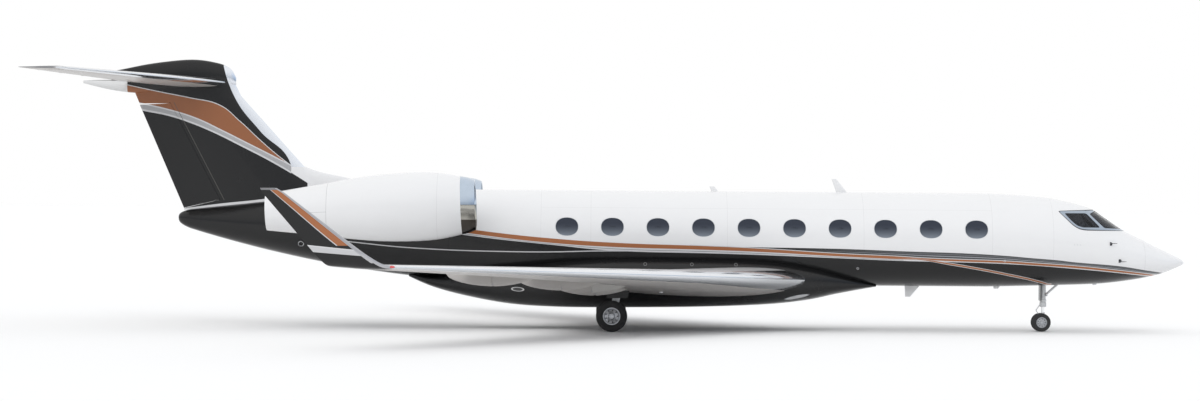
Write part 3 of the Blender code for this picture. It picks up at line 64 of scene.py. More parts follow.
# Station, top, bottom and half width of each section of the nose
NOSE_SECTIONS = (
    (0.0, 2.055, 2.000, 0.030), (0.06, 2.110, 1.968, 0.105), (0.20, 2.190, 1.905, 0.225),
    (0.40, 2.285, 1.815, 0.360), (0.73, 2.438, 1.697, 0.540), (1.25, 2.697, 1.578, 0.760),
    (1.78, 2.961, 1.490, 0.935), (2.35, 3.340, 1.421, 1.070), (2.67, 3.556, 1.400, 1.130),
    (2.98, 3.682, 1.384, 1.180), (3.83, 3.876, 1.354, 1.280), (4.61, 3.960, 1.330, 1.330),
    (5.75, 4.020, 1.300, 1.360),
)
AFT_BOTTOM_START = 18.93
AFT_BOTTOM_CURVE = 0.01506
AFT_TOP_START = 20.90
AFT_TOP_CURVE = 0.01038
AFT_TOP_SLOPE = 0.124

# Windows and door
WINDOW_COUNT = 10
FIRST_WINDOW = 6.21
WINDOW_PITCH = 1.31
WINDOW_LENGTH = 0.66
WINDOW_HEIGHT = 0.53
WINDOW_Z = 2.97
# Inset from the outline of a window, depth below the skin
PANE_PROFILE = ((0.007, 0.010), (0.06, 0.010), (0.13, 0.010), (0.20, 0.010), (0.24, 0.010), (0.24, 0.020),
                (0.007, 0.020))
RIM_PROFILE = ((0.001, 0.009), (0.001, -0.0015), (0.004, -0.0020), (0.008, -0.0005), (0.009, 0.0085),
               (0.005, 0.009))
TRIM_PROFILE = ((0.010, 0.024), (0.020, 0.090), (-0.030, 0.118), (-0.050, 0.112), (-0.01, 0.095),
                (0.002, 0.024))
DOOR_FRONT = 4.45
DOOR_REAR = 5.40
DOOR_SILL_Z = 1.80
DOOR_TOP_Z = 3.62
DOOR_GAP = 0.010
RAIL_OUTLINE = ((0.0, 2.02), (0.10, 2.02), (0.16, 2.10), (0.16, 3.20), (0.10, 3.26), (0.0, 3.26))
FLOOR_Z = 2.00
WINDSHIELD_OUTLINE = ((3.80, 3.52), (2.60, 3.56), (1.70, 2.96), (3.02, 2.985), (3.20, 3.01), (3.36, 3.09),
                      (3.50, 3.22))
SIDE_PANE = ((3.63, 3.46), (2.97, 3.46), (2.59, 3.05), (3.12, 3.05), (3.29, 3.11), (3.44, 3.24))
FRONT_PANE = ((2.87, 3.44), (2.60, 3.56), (1.84, 3.01), (2.46, 3.035))
CENTRE_POST = 0.045

# Wing: span position, leading edge, chord, height, thickness ratio, drop of the chord line per metre
WING_STATIONS = (
    (1.22, 11.05, 6.994, 1.475, 0.122, 0.035), (4.80, 13.876, 4.400, 1.628, 0.106, 0.022),
    (10.00, 17.984, 2.900, 1.850, 0.098, 0.008), (15.10, 22.013, 1.429, 2.067, 0.090, 0.000),
)
STABILIZER_STATIONS = (
    (0.02, 27.90, 2.900, 7.085, 0.100, 0.0), (5.10, 31.77, 1.250, 7.275, 0.090, 0.0),
)
FIN_STATIONS = (
    (3.20, 24.368, 4.750, 0.0, 0.100, 0.0), (4.64, 25.680, 4.056, 0.0, 0.100, 0.0),
    (6.69, 27.545, 3.070, 0.0, 0.104, 0.0), (7.30, 27.850, 3.030, 0.0, 0.105, 0.0),
)
COVE_GAP = 0.009
END_GAP = 0.012
TRAILING_EDGE_HALF = 0.006
HEEL = 0.03
# Inner end, outer end, chord at the inner end, chord at the outer end
INNER_FLAP = (1.80, 4.70, 1.05, 0.98)
OUTER_FLAP = (5.25, 10.15, 0.86, 0.62)
AILERON = (10.25, 14.35, 0.62, 0.36)
# Span positions of the flap fairings
INNER_FAIRINGS = (3.15, 4.45)
OUTER_FAIRINGS = (6.00, 9.20)
# Inner end, outer end, and the hinge line as a share of the chord
SPOILERS = (5.65, 9.90, 0.60)
SPOILER_CHORDS = (0.50, 0.34)
RUDDER_HINGE = ((28.15, 3.66), (29.64, 6.497))
ELEVATOR = (0.80, 4.92)
ELEVATOR_FRACTION = 0.70

# Place of the engines
NACELLE_Y = 2.60
NACELLE_FRONT = 20.58
NACELLE_FRONT_Z = 3.58
NACELLE_DROOP = radians(2.4)

# Place and size of the landing gear
NOSE_GEAR_STATION = 4.10
NOSE_TRAIL = 0.06
NOSE_TYRE_RADIUS = 0.267
NOSE_TYRE_WIDTH = 0.18
NOSE_WHEEL_Y = 0.165
MAIN_GEAR_STATION = 16.70
MAIN_LEG_STATION = 16.55
MAIN_GEAR_Y = 2.20
MAIN_TYRE_RADIUS = 0.445
MAIN_TYRE_WIDTH = 0.28
MAIN_WHEEL_Y = 0.31

# Livery on the fuselage, as (station, height) of each edge from tail to nose
ORANGE_TOP = (
    (25.56, 4.182), (24.60, 3.713), (22.82, 3.207), (20.69, 2.859), (18.20, 2.607), (16.48, 2.508),
    (14.09, 2.440), (12.45, 2.374), (10.15, 2.244), (8.33, 2.171), (7.84, 2.140), (6.69, 2.102),
    (5.39, 2.065), (4.66, 2.021), (3.39, 1.941), (2.10, 1.819), (1.09, 1.706), (0.55, 1.645),
)
ORANGE_BOTTOM = (
    (25.56, 4.176), (24.58, 3.597), (22.82, 3.092), (20.69, 2.741), (18.20, 2.478), (16.48, 2.387),
    (14.09, 2.333), (12.45, 2.282), (10.14, 2.169), (8.33, 2.098), (7.85, 2.087), (6.68, 2.047),
    (5.38, 2.010), (4.66, 1.965), (3.38, 1.883), (2.09, 1.766), (1.07, 1.660), (0.55, 1.601),
)
SILVER_BOTTOM = (
    (25.56, 4.161), (24.58, 3.510), (22.81, 2.991), (20.50, 2.650), (18.20, 2.420), (16.97, 2.305),
    (15.90, 2.258), (14.09, 2.232), (12.45, 2.192), (10.14, 2.114), (8.32, 2.050), (7.14, 2.030),
    (5.38, 1.985), (3.38, 1.858), (1.07, 1.636), (0.55, 1.577),
)
BLACK_TOP = (
    (14.46, 2.437), (13.03, 2.419), (10.15, 2.386), (8.33, 2.330), (6.56, 2.283), (5.39, 2.222),
    (4.67, 2.163), (3.79, 2.096), (3.41, 2.052), (2.12, 1.948), (1.12, 1.805), (0.57, 1.733),
)
THIN_LINE = (
    (25.14, 2.582), (24.33, 2.488), (21.57, 2.278), (19.93, 2.239), (18.64, 2.235), (16.97, 2.276),
    (15.90, 2.282),
)
LOWER_BRANCH = ((8.80, 2.150), (7.84, 2.096), (7.14, 2.000), (5.94, 1.801), (5.04, 1.627), (4.60, 1.537),
                (4.00, 1.382))
TAIL_LINE = ((29.19, 3.363), (28.15, 3.505), (26.85, 3.652), (25.58, 3.881))
FIN_ORANGE_TOP = (
    (30.86, 6.995), (29.90, 6.798), (29.02, 6.629), (28.24, 6.460), (27.56, 5.954), (27.04, 5.476),
    (26.54, 5.042), (26.06, 4.672),
)
FIN_ORANGE_BOTTOM = (
    (30.78, 6.528), (30.48, 6.463), (29.67, 6.286), (28.88, 6.046), (28.09, 5.687), (27.30, 5.299),
    (26.69, 4.997), (26.06, 4.680),
)
FIN_BAND_BOTTOM = (
    (30.78, 6.353), (30.43, 6.274), (29.67, 6.128), (29.00, 5.917), (28.29, 5.627), (27.61, 5.297),
    (26.54, 4.750), (25.58, 4.173),
)
FIN_METAL_EDGE = ((4.60, 26.06), (4.672, 26.06), (5.681, 26.98), (6.624, 27.71), (7.571, 28.06))

BRANCH_REAR = 8.5
BRANCH_FRONT = 3.9
# Stations of panel joints
BODY_JOINTS = (RADOME_END, 3.98, NOSE_END, 9.45, 13.38, 17.31, CABIN_END, 21.4, 24.2, AFT_END, 28.7)
FAIRING_JOINTS = (11.9, 13.6, 15.2, 18.4, 20.2)
COWL_FRONT_JOINT = 21.64
COWL_REAR_JOINT = 24.76
# Rings of the pressure ports
PORT_STATIONS = (13.13, 14.40, 15.74)
PORT_Z = 1.91

WHITE = (0.775, 0.775, 0.780)
CHARCOAL = (0.0095, 0.0095, 0.0100)
ORANGE = (0.36, 0.132, 0.052)
FIN_ORANGE = (0.28, 0.108, 0.048)
LIGHT_LINE = (0.60, 0.60, 0.61)
DARK_GREY = (0.30, 0.31, 0.33)
TAIL_GREY = (0.20, 0.20, 0.21)
WING_GREY = (0.50, 0.50, 0.51)
UNDER_GREY = (0.44, 0.42, 0.405)
BAND_GREY = (0.060, 0.062, 0.066)


def at(station, y, z):
    """Point at a distance aft of the nose tip."""
    return vec(LENGTH / 2 - station, y, z)


def vec(x, y, z):
    return Vector((x, y, z))


def mix(a, b, share):
    return a + (b - a) * share


def circle(count, offset=0.0):
    """Cosine and sine of evenly spaced angles."""
    angles = [2 * pi * (i + offset) / count for i in range(count)]
    return [(cos(angle), sin(angle)) for angle in angles]


def side_name(side):
    return "left" if side > 0 else "right"


# Shading


class Wire:
    """A value inside a material that takes plain arithmetic and comparisons."""

    def __init__(self, finish, socket):
        self.finish = finish
        self.socket = socket

    def __add__(self, other):
        return self.finish.math("ADD", self, other)

    def __radd__(self, other):
        return self.finish.math("ADD", other, self)

    def __sub__(self, other):
        return self.finish.math("SUBTRACT", self, other)

    def __rsub__(self, other):
        return self.finish.math("SUBTRACT", other, self)

    def __mul__(self, other):
        return self.finish.math("MULTIPLY", self, other)

    def __truediv__(self, other):
        return self.finish.math("DIVIDE", self, other)

    def __pow__(self, power):
        return self.finish.math("POWER", self, power)

    def __abs__(self):
        return self.finish.math("ABSOLUTE", self)

    def __gt__(self, other):
        """Mask that is 1 where this value is the larger one, with a narrow soft edge."""
        return self.finish.edge(self - other)

    def __lt__(self, other):
        return self.finish.edge(other - self)

    def near(self, middle, half):
        """Mask that is 1 within a half width of a line."""
        return half > abs(self - middle)

    def over(self, length):
        """Quotient kept between 0 and 1."""
        return self.finish.math("DIVIDE", self, length, clamp=True)


class Finish:
    """A procedural material, built up in layers of colour and relief."""

    def __init__(self, name, colour, roughness=0.3, metallic=0.0, coat=0.0, specular=0.5):
        self.material = bpy.data.materials.new(name)
        self.material.use_nodes = True
        self.tree = self.material.node_tree
        self.shader = self.tree.nodes["Principled BSDF"]
        self.shader.inputs["Metallic"].default_value = metallic
        self.shader.inputs["Coat Weight"].default_value = coat
        self.shader.inputs["Coat Roughness"].default_value = 0.03
        self.shader.inputs["Specular IOR Level"].default_value = specular
        self.roughness = roughness
        self.material.diffuse_color = (*colour, 1.0)
        rgb = self.add("ShaderNodeRGB")
        rgb.outputs[0].default_value = (*colour, 1.0)
        self.colour = rgb.outputs[0]
        self.heights = []
        self.coords = self.add("ShaderNodeTexCoord").outputs["Object"]
        split = self.add("ShaderNodeSeparateXYZ")
        self.tree.links.new(self.coords, split.inputs[0])
        self.x, self.y, self.z = (Wire(self, output) for output in split.outputs)
        self.station = LENGTH / 2 - self.x

    def add(self, kind, **properties):
        node = self.tree.nodes.new(kind)
        for key, value in properties.items():
            setattr(node, key, value)
        return node

    def put(self, socket, value):
        if isinstance(value, Wire):
            value = value.socket
        if isinstance(value, bpy.types.NodeSocket):
            self.tree.links.new(value, socket)
        else:
            socket.default_value = value

    def math(self, operation, a, b=0.0, clamp=False):
        node = self.add("ShaderNodeMath", operation=operation, use_clamp=clamp)
        self.put(node.inputs[0], a)
        self.put(node.inputs[1], b)
        return Wire(self, node.outputs[0])

    def edge(self, difference, softness=0.0025):
        """1 where the difference is positive, with a narrow soft edge."""
        return self.math("ADD", difference * (1 / softness), 0.5, clamp=True)

    def curve(self, value, points):
        """Smooth function of a value through a row of (value, result) points."""
        points = sorted(points)
        low, high = points[0][0], points[-1][0]
        bottom = min(p[1] for p in points)
        top = max(p[1] for p in points)
        span = max(top - bottom, 1e-6)
        scale = (value - low).over(high - low)
        node = self.add("ShaderNodeFloatCurve")
        row = node.mapping.curves[0]
        row.points[0].location = (0.0, (points[0][1] - bottom) / span)
        row.points[1].location = (1.0, (points[-1][1] - bottom) / span)
        for a, b in points[1:-1]:
            row.points.new((a - low) / (high - low), (b - bottom) / span)
        node.mapping.update()
        self.put(node.inputs["Value"], scale)
        return Wire(self, node.outputs[0]) * span + bottom

    def noise(self, scale, detail=2.0, stretch=(1, 1, 1)):
        spread = self.add("ShaderNodeMapping")
        spread.inputs["Scale"].default_value = stretch
        self.put(spread.inputs["Vector"], self.coords)
        node = self.add("ShaderNodeTexNoise")
        node.inputs["Scale"].default_value = scale
        node.inputs["Detail"].default_value = detail
        self.put(node.inputs["Vector"], spread.outputs[0])
        return Wire(self, node.outputs[0])

    def layer(self, colour, mask, blend="MIX"):
        node = self.add("ShaderNodeMix", data_type="RGBA", blend_type=blend)
        self.put(node.inputs["Factor"], mask)
        self.put(node.inputs["A"], self.colour)
        self.put(node.inputs["B"], (*colour, 1.0) if isinstance(colour, tuple) else colour)
        self.colour = node.outputs["Result"]

    def vary(self, scale, amount, stretch=(1, 1, 1)):
        """Slight change of the colour's lightness over the surface."""
        shade = (self.noise(scale, 3.0, stretch) - 0.5) * (2 * amount)
        grey = self.add("ShaderNodeCombineColor")
        level = shade + 1.0
        for socket in grey.inputs[:3]:
            self.put(socket, level)
        self.layer(grey.outputs[0], 1.0, "MULTIPLY")

    def seam(self, mask, depth, shade):
        """Dark joint between two panels."""
        self.layer((0.02, 0.02, 0.02), mask * shade)
        self.heights.append(mask * (-depth))

    def relief(self, height):
        self.heights.append(height)

    def done(self, roughness_scale=3.0, roughness_spread=0.06):
        """Connect the layers and return the material."""
        self.put(self.shader.inputs["Base Color"], self.colour)
        uneven = self.noise(roughness_scale, 4.0) - 0.5
        spread = uneven * (2 * roughness_spread)
        self.put(self.shader.inputs["Roughness"], self.math("ADD", spread, self.roughness, clamp=True))
        if self.heights:
            total = self.heights[0]
            for height in self.heights[1:]:
                total = total + height
            bump = self.add("ShaderNodeBump")
            bump.inputs["Strength"].default_value = 0.6
            bump.inputs["Distance"].default_value = 1.0
            self.put(bump.inputs["Height"], total)
            self.put(self.shader.inputs["Normal"], bump.outputs[0])
        return self.material


def painted(finish, waves=0.0004):
    """Add the faint waviness of sheet metal and the fine texture of paint, and return the material."""
    finish.relief(finish.noise(1.1, 1.0, (1, 1, 1.6)) * waves)
    finish.relief(finish.noise(260.0, 1.0) * 0.000010)
    return finish.done(2.0, 0.04)


def body_paint():
    """White top, charcoal belly and the copper and silver stripes between them."""
    finish = Finish("body_paint", WHITE, 0.24, 0.0, 0.10, 0.35)
    s, z = finish.station, finish.z
    finish.vary(0.7, 0.015)
    orange_top = finish.curve(s, ORANGE_TOP)
    orange_bottom = finish.curve(s, ORANGE_BOTTOM)
    silver_bottom = finish.curve(s, SILVER_BOTTOM)
    black_top = finish.curve(s, BLACK_TOP)
    ahead = BLACK_TOP[0][0] > s
    behind = s > ORANGE_TOP[0][0]
    top_edge = finish.math("MAXIMUM", orange_top, black_top * ahead)
    finish.layer(CHARCOAL, finish.math("MAXIMUM", top_edge > z, behind))
    band = (black_top > z) * (z > orange_top) * ahead
    fade = (11.5 - s).over(4.0)
    finish.layer(BAND_GREY, band * fade)
    rise = (z - orange_top) / (black_top - orange_top)
    # Painted highlights: two lighter lines along the grey band.
    finish.layer(DARK_GREY, band * fade * rise.near(0.42, 0.07))
    finish.layer((0.16, 0.165, 0.175), band * fade * rise.near(0.72, 0.05))
    not_tail = 1.0 - behind
    silver = (orange_bottom > z) * (z > silver_bottom) * not_tail
    finish.layer((0.66, 0.66, 0.67), silver)
    middle = (orange_bottom + silver_bottom) * 0.5
    finish.layer(TAIL_GREY, silver * z.near(middle, 0.007) * (s > 8.3))
    finish.layer(ORANGE, (orange_top > z) * (z > orange_bottom) * not_tail)
    finish.layer((0.62, 0.62, 0.63), z.near(orange_top + 0.012, 0.010) * ahead)
    branch = finish.curve(s, LOWER_BRANCH)
    branch_range = (BRANCH_REAR > s) * (s > BRANCH_FRONT)
    widening = (BRANCH_REAR - s).over(1.6)
    half = widening * 0.018 + 0.004
    outline = half + widening * 0.014
    finish.layer(LIGHT_LINE, z.near(branch, outline) * branch_range)
    finish.layer(ORANGE, z.near(branch, half) * branch_range)
    finish.layer(LIGHT_LINE, z.near(finish.curve(s, THIN_LINE), 0.015) * (s > 16.2) * not_tail)
    for station in BODY_JOINTS:
        finish.seam(s.near(station, 0.0030), 0.0010, 0.22)
    cabin = (s > NOSE_END) * (CABIN_END > s)
    for height in (3.52, 2.20):
        finish.seam(z.near(height, 0.0025) * cabin, 0.0008, 0.15)
    static_ports(finish)
    return painted(finish, 0.0006)


def fin_paint():
    """Charcoal fin with a copper and silver sweep, and a polished leading edge."""
    finish = Finish("fin_paint", CHARCOAL, 0.26, 0.0, 0.08, 0.35)
    s, z = finish.station, finish.z
    finish.vary(0.9, 0.06)
    orange_top = finish.curve(s, FIN_ORANGE_TOP)
    orange_bottom = finish.curve(s, FIN_ORANGE_BOTTOM)
    band_bottom = finish.curve(s, FIN_BAND_BOTTOM)
    sweep_end = FIN_ORANGE_TOP[-1][0]
    band_end = FIN_BAND_BOTTOM[-1][0]
    sweep = s > sweep_end
    finish.layer(FIN_ORANGE, (orange_top > z) * (z > orange_bottom) * sweep)
    finish.layer((0.38, 0.38, 0.39), (orange_bottom > z) * (z > band_bottom))
    for edge, half in ((orange_top, 0.014), (orange_bottom, 0.020), (band_bottom, 0.026)):
        finish.layer(LIGHT_LINE, z.near(edge, half) * sweep)
    finish.layer(WHITE, finish.math("MAXIMUM", (sweep_end > s) * (z > band_bottom), band_end > s))
    finish.layer((0.70, 0.70, 0.71), (finish.curve(s, TAIL_LINE) + 0.045 > z) * (s > band_end))
    finish.layer((0.66, 0.66, 0.66), (s > FIN_ORANGE_TOP[0][0]) * (7.12 > z) * (z > 6.72))
    (low_station, low_z), (high_station, high_z) = RUDDER_HINGE
    hinge = (z - low_z) * ((high_station - low_station) / (high_z - low_z)) + low_station - 0.14
    finish.layer((0.10, 0.095, 0.085), s.near(hinge, 0.008) * (z > low_z) * (high_z > z))
    polished = (finish.curve(z, FIN_METAL_EDGE) > s) * (z > 4.64)
    finish.layer((0.80, 0.83, 0.88), polished)
    finish.put(finish.shader.inputs["Metallic"], polished)
    return painted(finish)


def plain_paint(name, colour, roughness=0.24, coat=0.1, variation=0.02):
    """One colour of gloss paint."""
    finish = Finish(name, colour, roughness, 0.0, coat, 0.35)
    finish.vary(0.8, variation)
    return painted(finish)


def surface_paint(name, top, under):
    """Gloss paint of a control surface, with one colour above and one below."""
    finish = Finish(name, under, 0.33, 0.0, 0.1, 0.35)
    normal = finish.add("ShaderNodeSeparateXYZ")
    finish.put(normal.inputs[0], finish.add("ShaderNodeTexCoord").outputs["Normal"])
    finish.layer(top, Wire(finish, normal.outputs[2]) > 0.0)
    finish.vary(0.8, 0.04)
    return painted(finish)


def oval(finish, station, z, half_length, half_height, slope):
    """Distance inside a leaning oval: 1 at its middle and 0 on its edge."""
    along = finish.station - station
    up = finish.z - z - along * slope
    return 1.0 - (abs(along / half_length) ** 2.0 + abs(up / half_height) ** 2.0)


def static_ports(finish):
    """Rings round the pressure ports on the charcoal band."""
    for station in PORT_STATIONS:
        inside = oval(finish, station, PORT_Z, 0.05, 0.05, 0.0)
        finish.layer((0.14, 0.14, 0.14), (inside > 0.0) * (0.55 > inside))


def fairing_paint():
    """Charcoal belly fairing with its lamp cover, an oval vent and panel joints."""
    finish = Finish("fairing_paint", CHARCOAL, 0.26, 0.0, 0.08, 0.35)
    finish.vary(0.8, 0.06)
    for station in FAIRING_JOINTS:
        finish.seam(finish.station.near(station, 0.004), 0.0012, 0.35)
    cover = oval(finish, 11.36, 0.985, 0.36, 0.052, -0.20)
    finish.layer((0.62, 0.63, 0.64), finish.edge(cover, 0.06))
    finish.layer(DARK_GREY, finish.edge(cover, 0.06) * finish.edge(0.25 - cover, 0.1))
    vent = oval(finish, 19.40, 1.158, 0.19, 0.062, 0.05)
    finish.layer((0.55, 0.55, 0.55), finish.edge(vent, 0.1))
    finish.layer((0.05, 0.05, 0.05), finish.edge(vent - 0.4, 0.1))
    static_ports(finish)
    return painted(finish)


def nacelle_paint():
    """White cowl with its joints and a row of latches."""
    finish = Finish("nacelle_paint", WHITE, 0.24, 0.0, 0.15, 0.4)
    s, z = finish.station, finish.z
    finish.vary(0.9, 0.012)
    for station, shade in ((COWL_REAR_JOINT, 0.40), (COWL_FRONT_JOINT, 0.15)):
        finish.seam(s.near(station, 0.005), 0.0015, shade)
    level = NACELLE_FRONT_Z - 0.06 - (s - NACELLE_FRONT) * 0.042
    finish.seam(z.near(level, 0.005) * (s > COWL_REAR_JOINT) * (25.6 > s), 0.0015, 0.4)
    lower = level - 0.93
    finish.seam(z.near(lower, 0.006) * (s > COWL_FRONT_JOINT) * (COWL_REAR_JOINT > s), 0.0015, 0.4)
    spaced = finish.math("PINGPONG", s, 0.30).near(0.15, 0.06)
    finish.seam(z.near(lower, 0.028) * (s > 21.9) * (24.5 > s) * spaced, 0.001, 0.25)
    return painted(finish)


def metal(name, colour, roughness, brush=0.0, stretch=(1, 1, 1), scale=30.0, variation=0.05):
    """Bare metal with fine brushing."""
    finish = Finish(name, colour, roughness, 1.0)
    finish.vary(2.5, variation)
    if brush:
        finish.relief(finish.noise(scale, 3.0, stretch) * brush)
    return finish.done(6.0, min(roughness * 0.35, 0.08))


def inlet_metal():
    """Polished inlet ring with a painted reflection: bluer above and darker below."""
    finish = Finish("inlet_metal", (0.52, 0.60, 0.70), 0.12, 1.0)
    # Painted reflection: grey below the axis and near black at the bottom, under the sky blue top.
    finish.layer((0.44, 0.43, 0.39), NACELLE_FRONT_Z > finish.z)
    finish.layer((0.07, 0.062, 0.056), NACELLE_FRONT_Z - 0.42 > finish.z)
    finish.vary(2.5, 0.08)
    return finish.done(6.0, 0.04)


def rubber():
    finish = Finish("tyre_rubber", (0.022, 0.022, 0.024), 0.78)
    finish.vary(9.0, 0.25)
    finish.layer((0.075, 0.070, 0.065), finish.noise(5.0, 4.0) * 0.30)
    finish.relief(finish.noise(380.0, 2.0) * 0.0004)
    return finish.done(12.0, 0.08)


def cloth(name, colour, scale, depth, roughness=0.9):
    """Carpet or woven fabric."""
    finish = Finish(name, colour, roughness)
    finish.vary(6.0, 0.12)
    finish.vary(scale, 0.2)
    finish.relief(finish.noise(scale, 2.0) * depth)
    return finish.done(8.0, 0.04)


def leather():
    finish = Finish("seat_leather", (0.36, 0.19, 0.10), 0.48)
    finish.vary(4.0, 0.12)
    cell = finish.add("ShaderNodeTexVoronoi")
    cell.inputs["Scale"].default_value = 260.0
    finish.put(cell.inputs["Vector"], finish.coords)
    finish.relief(Wire(finish, cell.outputs["Distance"]) * 0.0012)
    return finish.done(5.0, 0.07)


def glazing_with_painted_reflection(name, top, bottom, low_z, high_z, clear, ior=1.5):
    """Tinted glass with a painted reflection that makes it lighter towards its lower edge."""
    finish = Finish(name, top, 0.02, 0.0, 0.0, specular=0.25)
    # Painted reflection: the lower part of the glass gets a lighter colour.
    share = (high_z - finish.z).over(high_z - low_z)
    finish.layer(bottom, share ** 2.0)
    finish.vary(1.5, 0.05)
    finish.shader.inputs["Transmission Weight"].default_value = clear
    finish.shader.inputs["IOR"].default_value = ior
    return finish.done(2.0, 0.01)


def lamp_lens(name, colour, glow=0.0):
    finish = Finish(name, colour, 0.06, 0.0, 1.0)
    finish.vary(20.0, 0.1)
    finish.shader.inputs["Transmission Weight"].default_value = 0.3
    if glow:
        finish.shader.inputs["Emission Color"].default_value = (*colour, 1.0)
        finish.shader.inputs["Emission Strength"].default_value = glow
    return finish.done(4.0, 0.01)


# Solids


def skin(bm, first, second, index=None):
    """Faces between two rings of points; index gives each segment's material."""
    for i in range(len(first)):
        j = (i + 1) % len(first)
        face = bm.faces.new((first[i], first[j], second[j], second[i]))
        if index:
            face.material_index = index(i)


def loft(bm, rings, closed=False, index=None):
    """Skin a row of rings that have the same number of points."""
    loops = [[bm.verts.new(point) for point in ring] for ring in rings]
    for first, second in zip(loops, loops[1:]):
        skin(bm, first, second, index)
    if closed:
        skin(bm, loops[-1], loops[0], index)
    else:
        bm.faces.new(loops[0][::-1])
        bm.faces.new(loops[-1])
    return loops


def box(bm, low, high):
    """Box between two corners."""
    x0, y0, z0 = low
    x1, y1, z1 = high
    loft(bm, [[vec(x, y0, z0), vec(x, y1, z0), vec(x, y1, z1), vec(x, y0, z1)] for x in (x0, x1)])


def turn_frame(direction):
    axis = Vector(direction).normalized()
    first = axis.orthogonal().normalized()
    if abs(axis.z) < 0.9:
        first = (vec(0, 0, 1) - axis * axis.z).normalized()
    return axis, first, axis.cross(first)


def turned(bm, base, direction, profile, count=64, closed=False, index=None):
    """Turn a profile of (distance along the axis, radius) about an axis."""
    axis, first, second = turn_frame(direction)
    loops = [[bm.verts.new(base + axis * along + (first * c + second * s) * radius)
              for c, s in circle(count)] for along, radius in profile]
    pairs = list(zip(loops, loops[1:]))
    if closed:
        pairs.append((loops[-1], loops[0]))
    for k, (a, b) in enumerate(pairs):
        skin(bm, a, b, (lambda i, k=k: index(k)) if index else None)
    if not closed:
        bm.faces.new(loops[0][::-1])
        bm.faces.new(loops[-1])


def rod(bm, start, end, radius, count=24, end_radius=None):
    """Round bar between two points, with small chamfers."""
    run = Vector(end) - Vector(start)
    last = radius if end_radius is None else end_radius
    chamfer = min(radius * 0.18, run.length * 0.2)
    profile = ((0.0, radius - chamfer), (chamfer, radius), (run.length - chamfer, last),
               (run.length, last - chamfer))
    turned(bm, start, run, profile, count)


def pin(bm, middle, half, radius, count=24):
    """Round bar across the aircraft."""
    rod(bm, middle - vec(0, half, 0), middle + vec(0, half, 0), radius, count)


def smooth_profile(points, steps=6):
    """Curve through a row of points."""
    result = []
    for k in range(len(points) - 1):
        p0 = points[max(k - 1, 0)]
        p1, p2 = points[k], points[k + 1]
        p3 = points[min(k + 2, len(points) - 1)]
        for i in range(steps):
            t = i / steps
            row = []
            for a, b, c, d in zip(p0, p1, p2, p3):
                row.append(0.5 * (2 * b + (c - a) * t + (2 * a - 5 * b + 4 * c - d) * t * t
                                  + (3 * b - a - 3 * c + d) * t**3))
            result.append(tuple(row))
    result.append(tuple(points[-1]))
    return result


def place(name, data):
    obj = bpy.data.objects.new(name, data)
    bpy.context.scene.collection.objects.link(obj)
    return obj


def piece(name, bm, looks, node=None, body="airframe", sharp=32):
    """Make one object that rides a body and may stand for a CAD node."""
    bmesh.ops.recalc_face_normals(bm, faces=bm.faces)
    mesh = bpy.data.meshes.new(name)
    bm.to_mesh(mesh)
    bm.free()
    for look in looks.split():
        mesh.materials.append(LOOKS[look])
    mesh.shade_smooth()
    mesh.set_sharp_from_angle(angle=radians(sharp))
    obj = place(name, mesh)
    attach(obj, body)
    if node:
        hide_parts(node)
    return obj


def combine(target, operation, build, *args, index=None):
    """Cut, add or intersect with a solid that a function builds; index is the material of its faces."""
    bm = bmesh.new()
    build(bm, *args)
    if index is not None:
        for face in bm.faces:
            face.material_index = index
    bmesh.ops.recalc_face_normals(bm, faces=bm.faces)
    mesh = bpy.data.meshes.new("tool")
    bm.to_mesh(mesh)
    bm.free()
    other = place("tool", mesh)
    modifier = target.modifiers.new("tool", "BOOLEAN")
    modifier.object = other
    modifier.operation = operation
    modifier.solver = "EXACT"
    bpy.context.view_layer.update()
    graph = bpy.context.evaluated_depsgraph_get()
    result = bpy.data.meshes.new_from_object(target.evaluated_get(graph))
    target.modifiers.remove(modifier)
    old = target.data
    target.data = result
    result.name = target.name
    bpy.data.meshes.remove(old)
    bpy.data.objects.remove(other)
    bpy.data.meshes.remove(mesh)
    result.set_sharp_from_angle(angle=radians(32))


def even_shading(obj):
    modifier = obj.modifiers.new("even shading", "WEIGHTED_NORMAL")
    modifier.keep_sharp = True
    modifier.weight = 80


# Fuselage


def nose_section(station):
    """Top, bottom and half width in the nose, smoothed between the named sections."""
    rows = NOSE_SECTIONS
    k = max(i for i in range(len(rows) - 1) if rows[i][0] <= station)
    low, high = rows[k], rows[k + 1]
    step = high[0] - low[0]
    share = (station - low[0]) / step
    before = rows[max(k - 1, 0)]
    after = rows[min(k + 2, len(rows) - 1)]
    values = []
    for i in (1, 2, 3):
        start_slope = (high[i] - before[i]) / (high[0] - before[0])
        end_slope = (after[i] - low[i]) / (after[0] - low[0])
        cubic = (
            (2 * share**3 - 3 * share**2 + 1) * low[i]
            + (share**3 - 2 * share**2 + share) * step * start_slope
            + (3 * share**2 - 2 * share**3) * high[i]
            + (share**3 - share**2) * step * end_slope
        )
        values.append(cubic)
    return values


def aft_section(station):
    """Top, bottom and half width behind the cabin."""
    bottom = CABIN_AXIS_Z - CABIN_RADIUS + AFT_BOTTOM_CURVE * max(station - AFT_BOTTOM_START, 0) ** 2
    straight = AFT_TOP_START + AFT_TOP_SLOPE / (2 * AFT_TOP_CURVE)
    curved = min(station, straight) - AFT_TOP_START
    top = CABIN_AXIS_Z + CABIN_RADIUS - AFT_TOP_CURVE * max(curved, 0) ** 2
    top -= AFT_TOP_SLOPE * max(station - straight, 0)
    return top, bottom, (top - bottom) / 2


def fuselage_section(station):
    if station < NOSE_END:
        return nose_section(station)
    return aft_section(station)


def fuselage_ring(station, inset=0.0, squeeze=1.0):
    top, bottom, half_width = fuselage_section(station)
    width = (half_width - inset) * squeeze
    height = ((top - bottom) / 2 - inset) * squeeze
    return [at(station, width * s, (top + bottom) / 2 + height * c) for c, s in circle(RING_POINTS)]


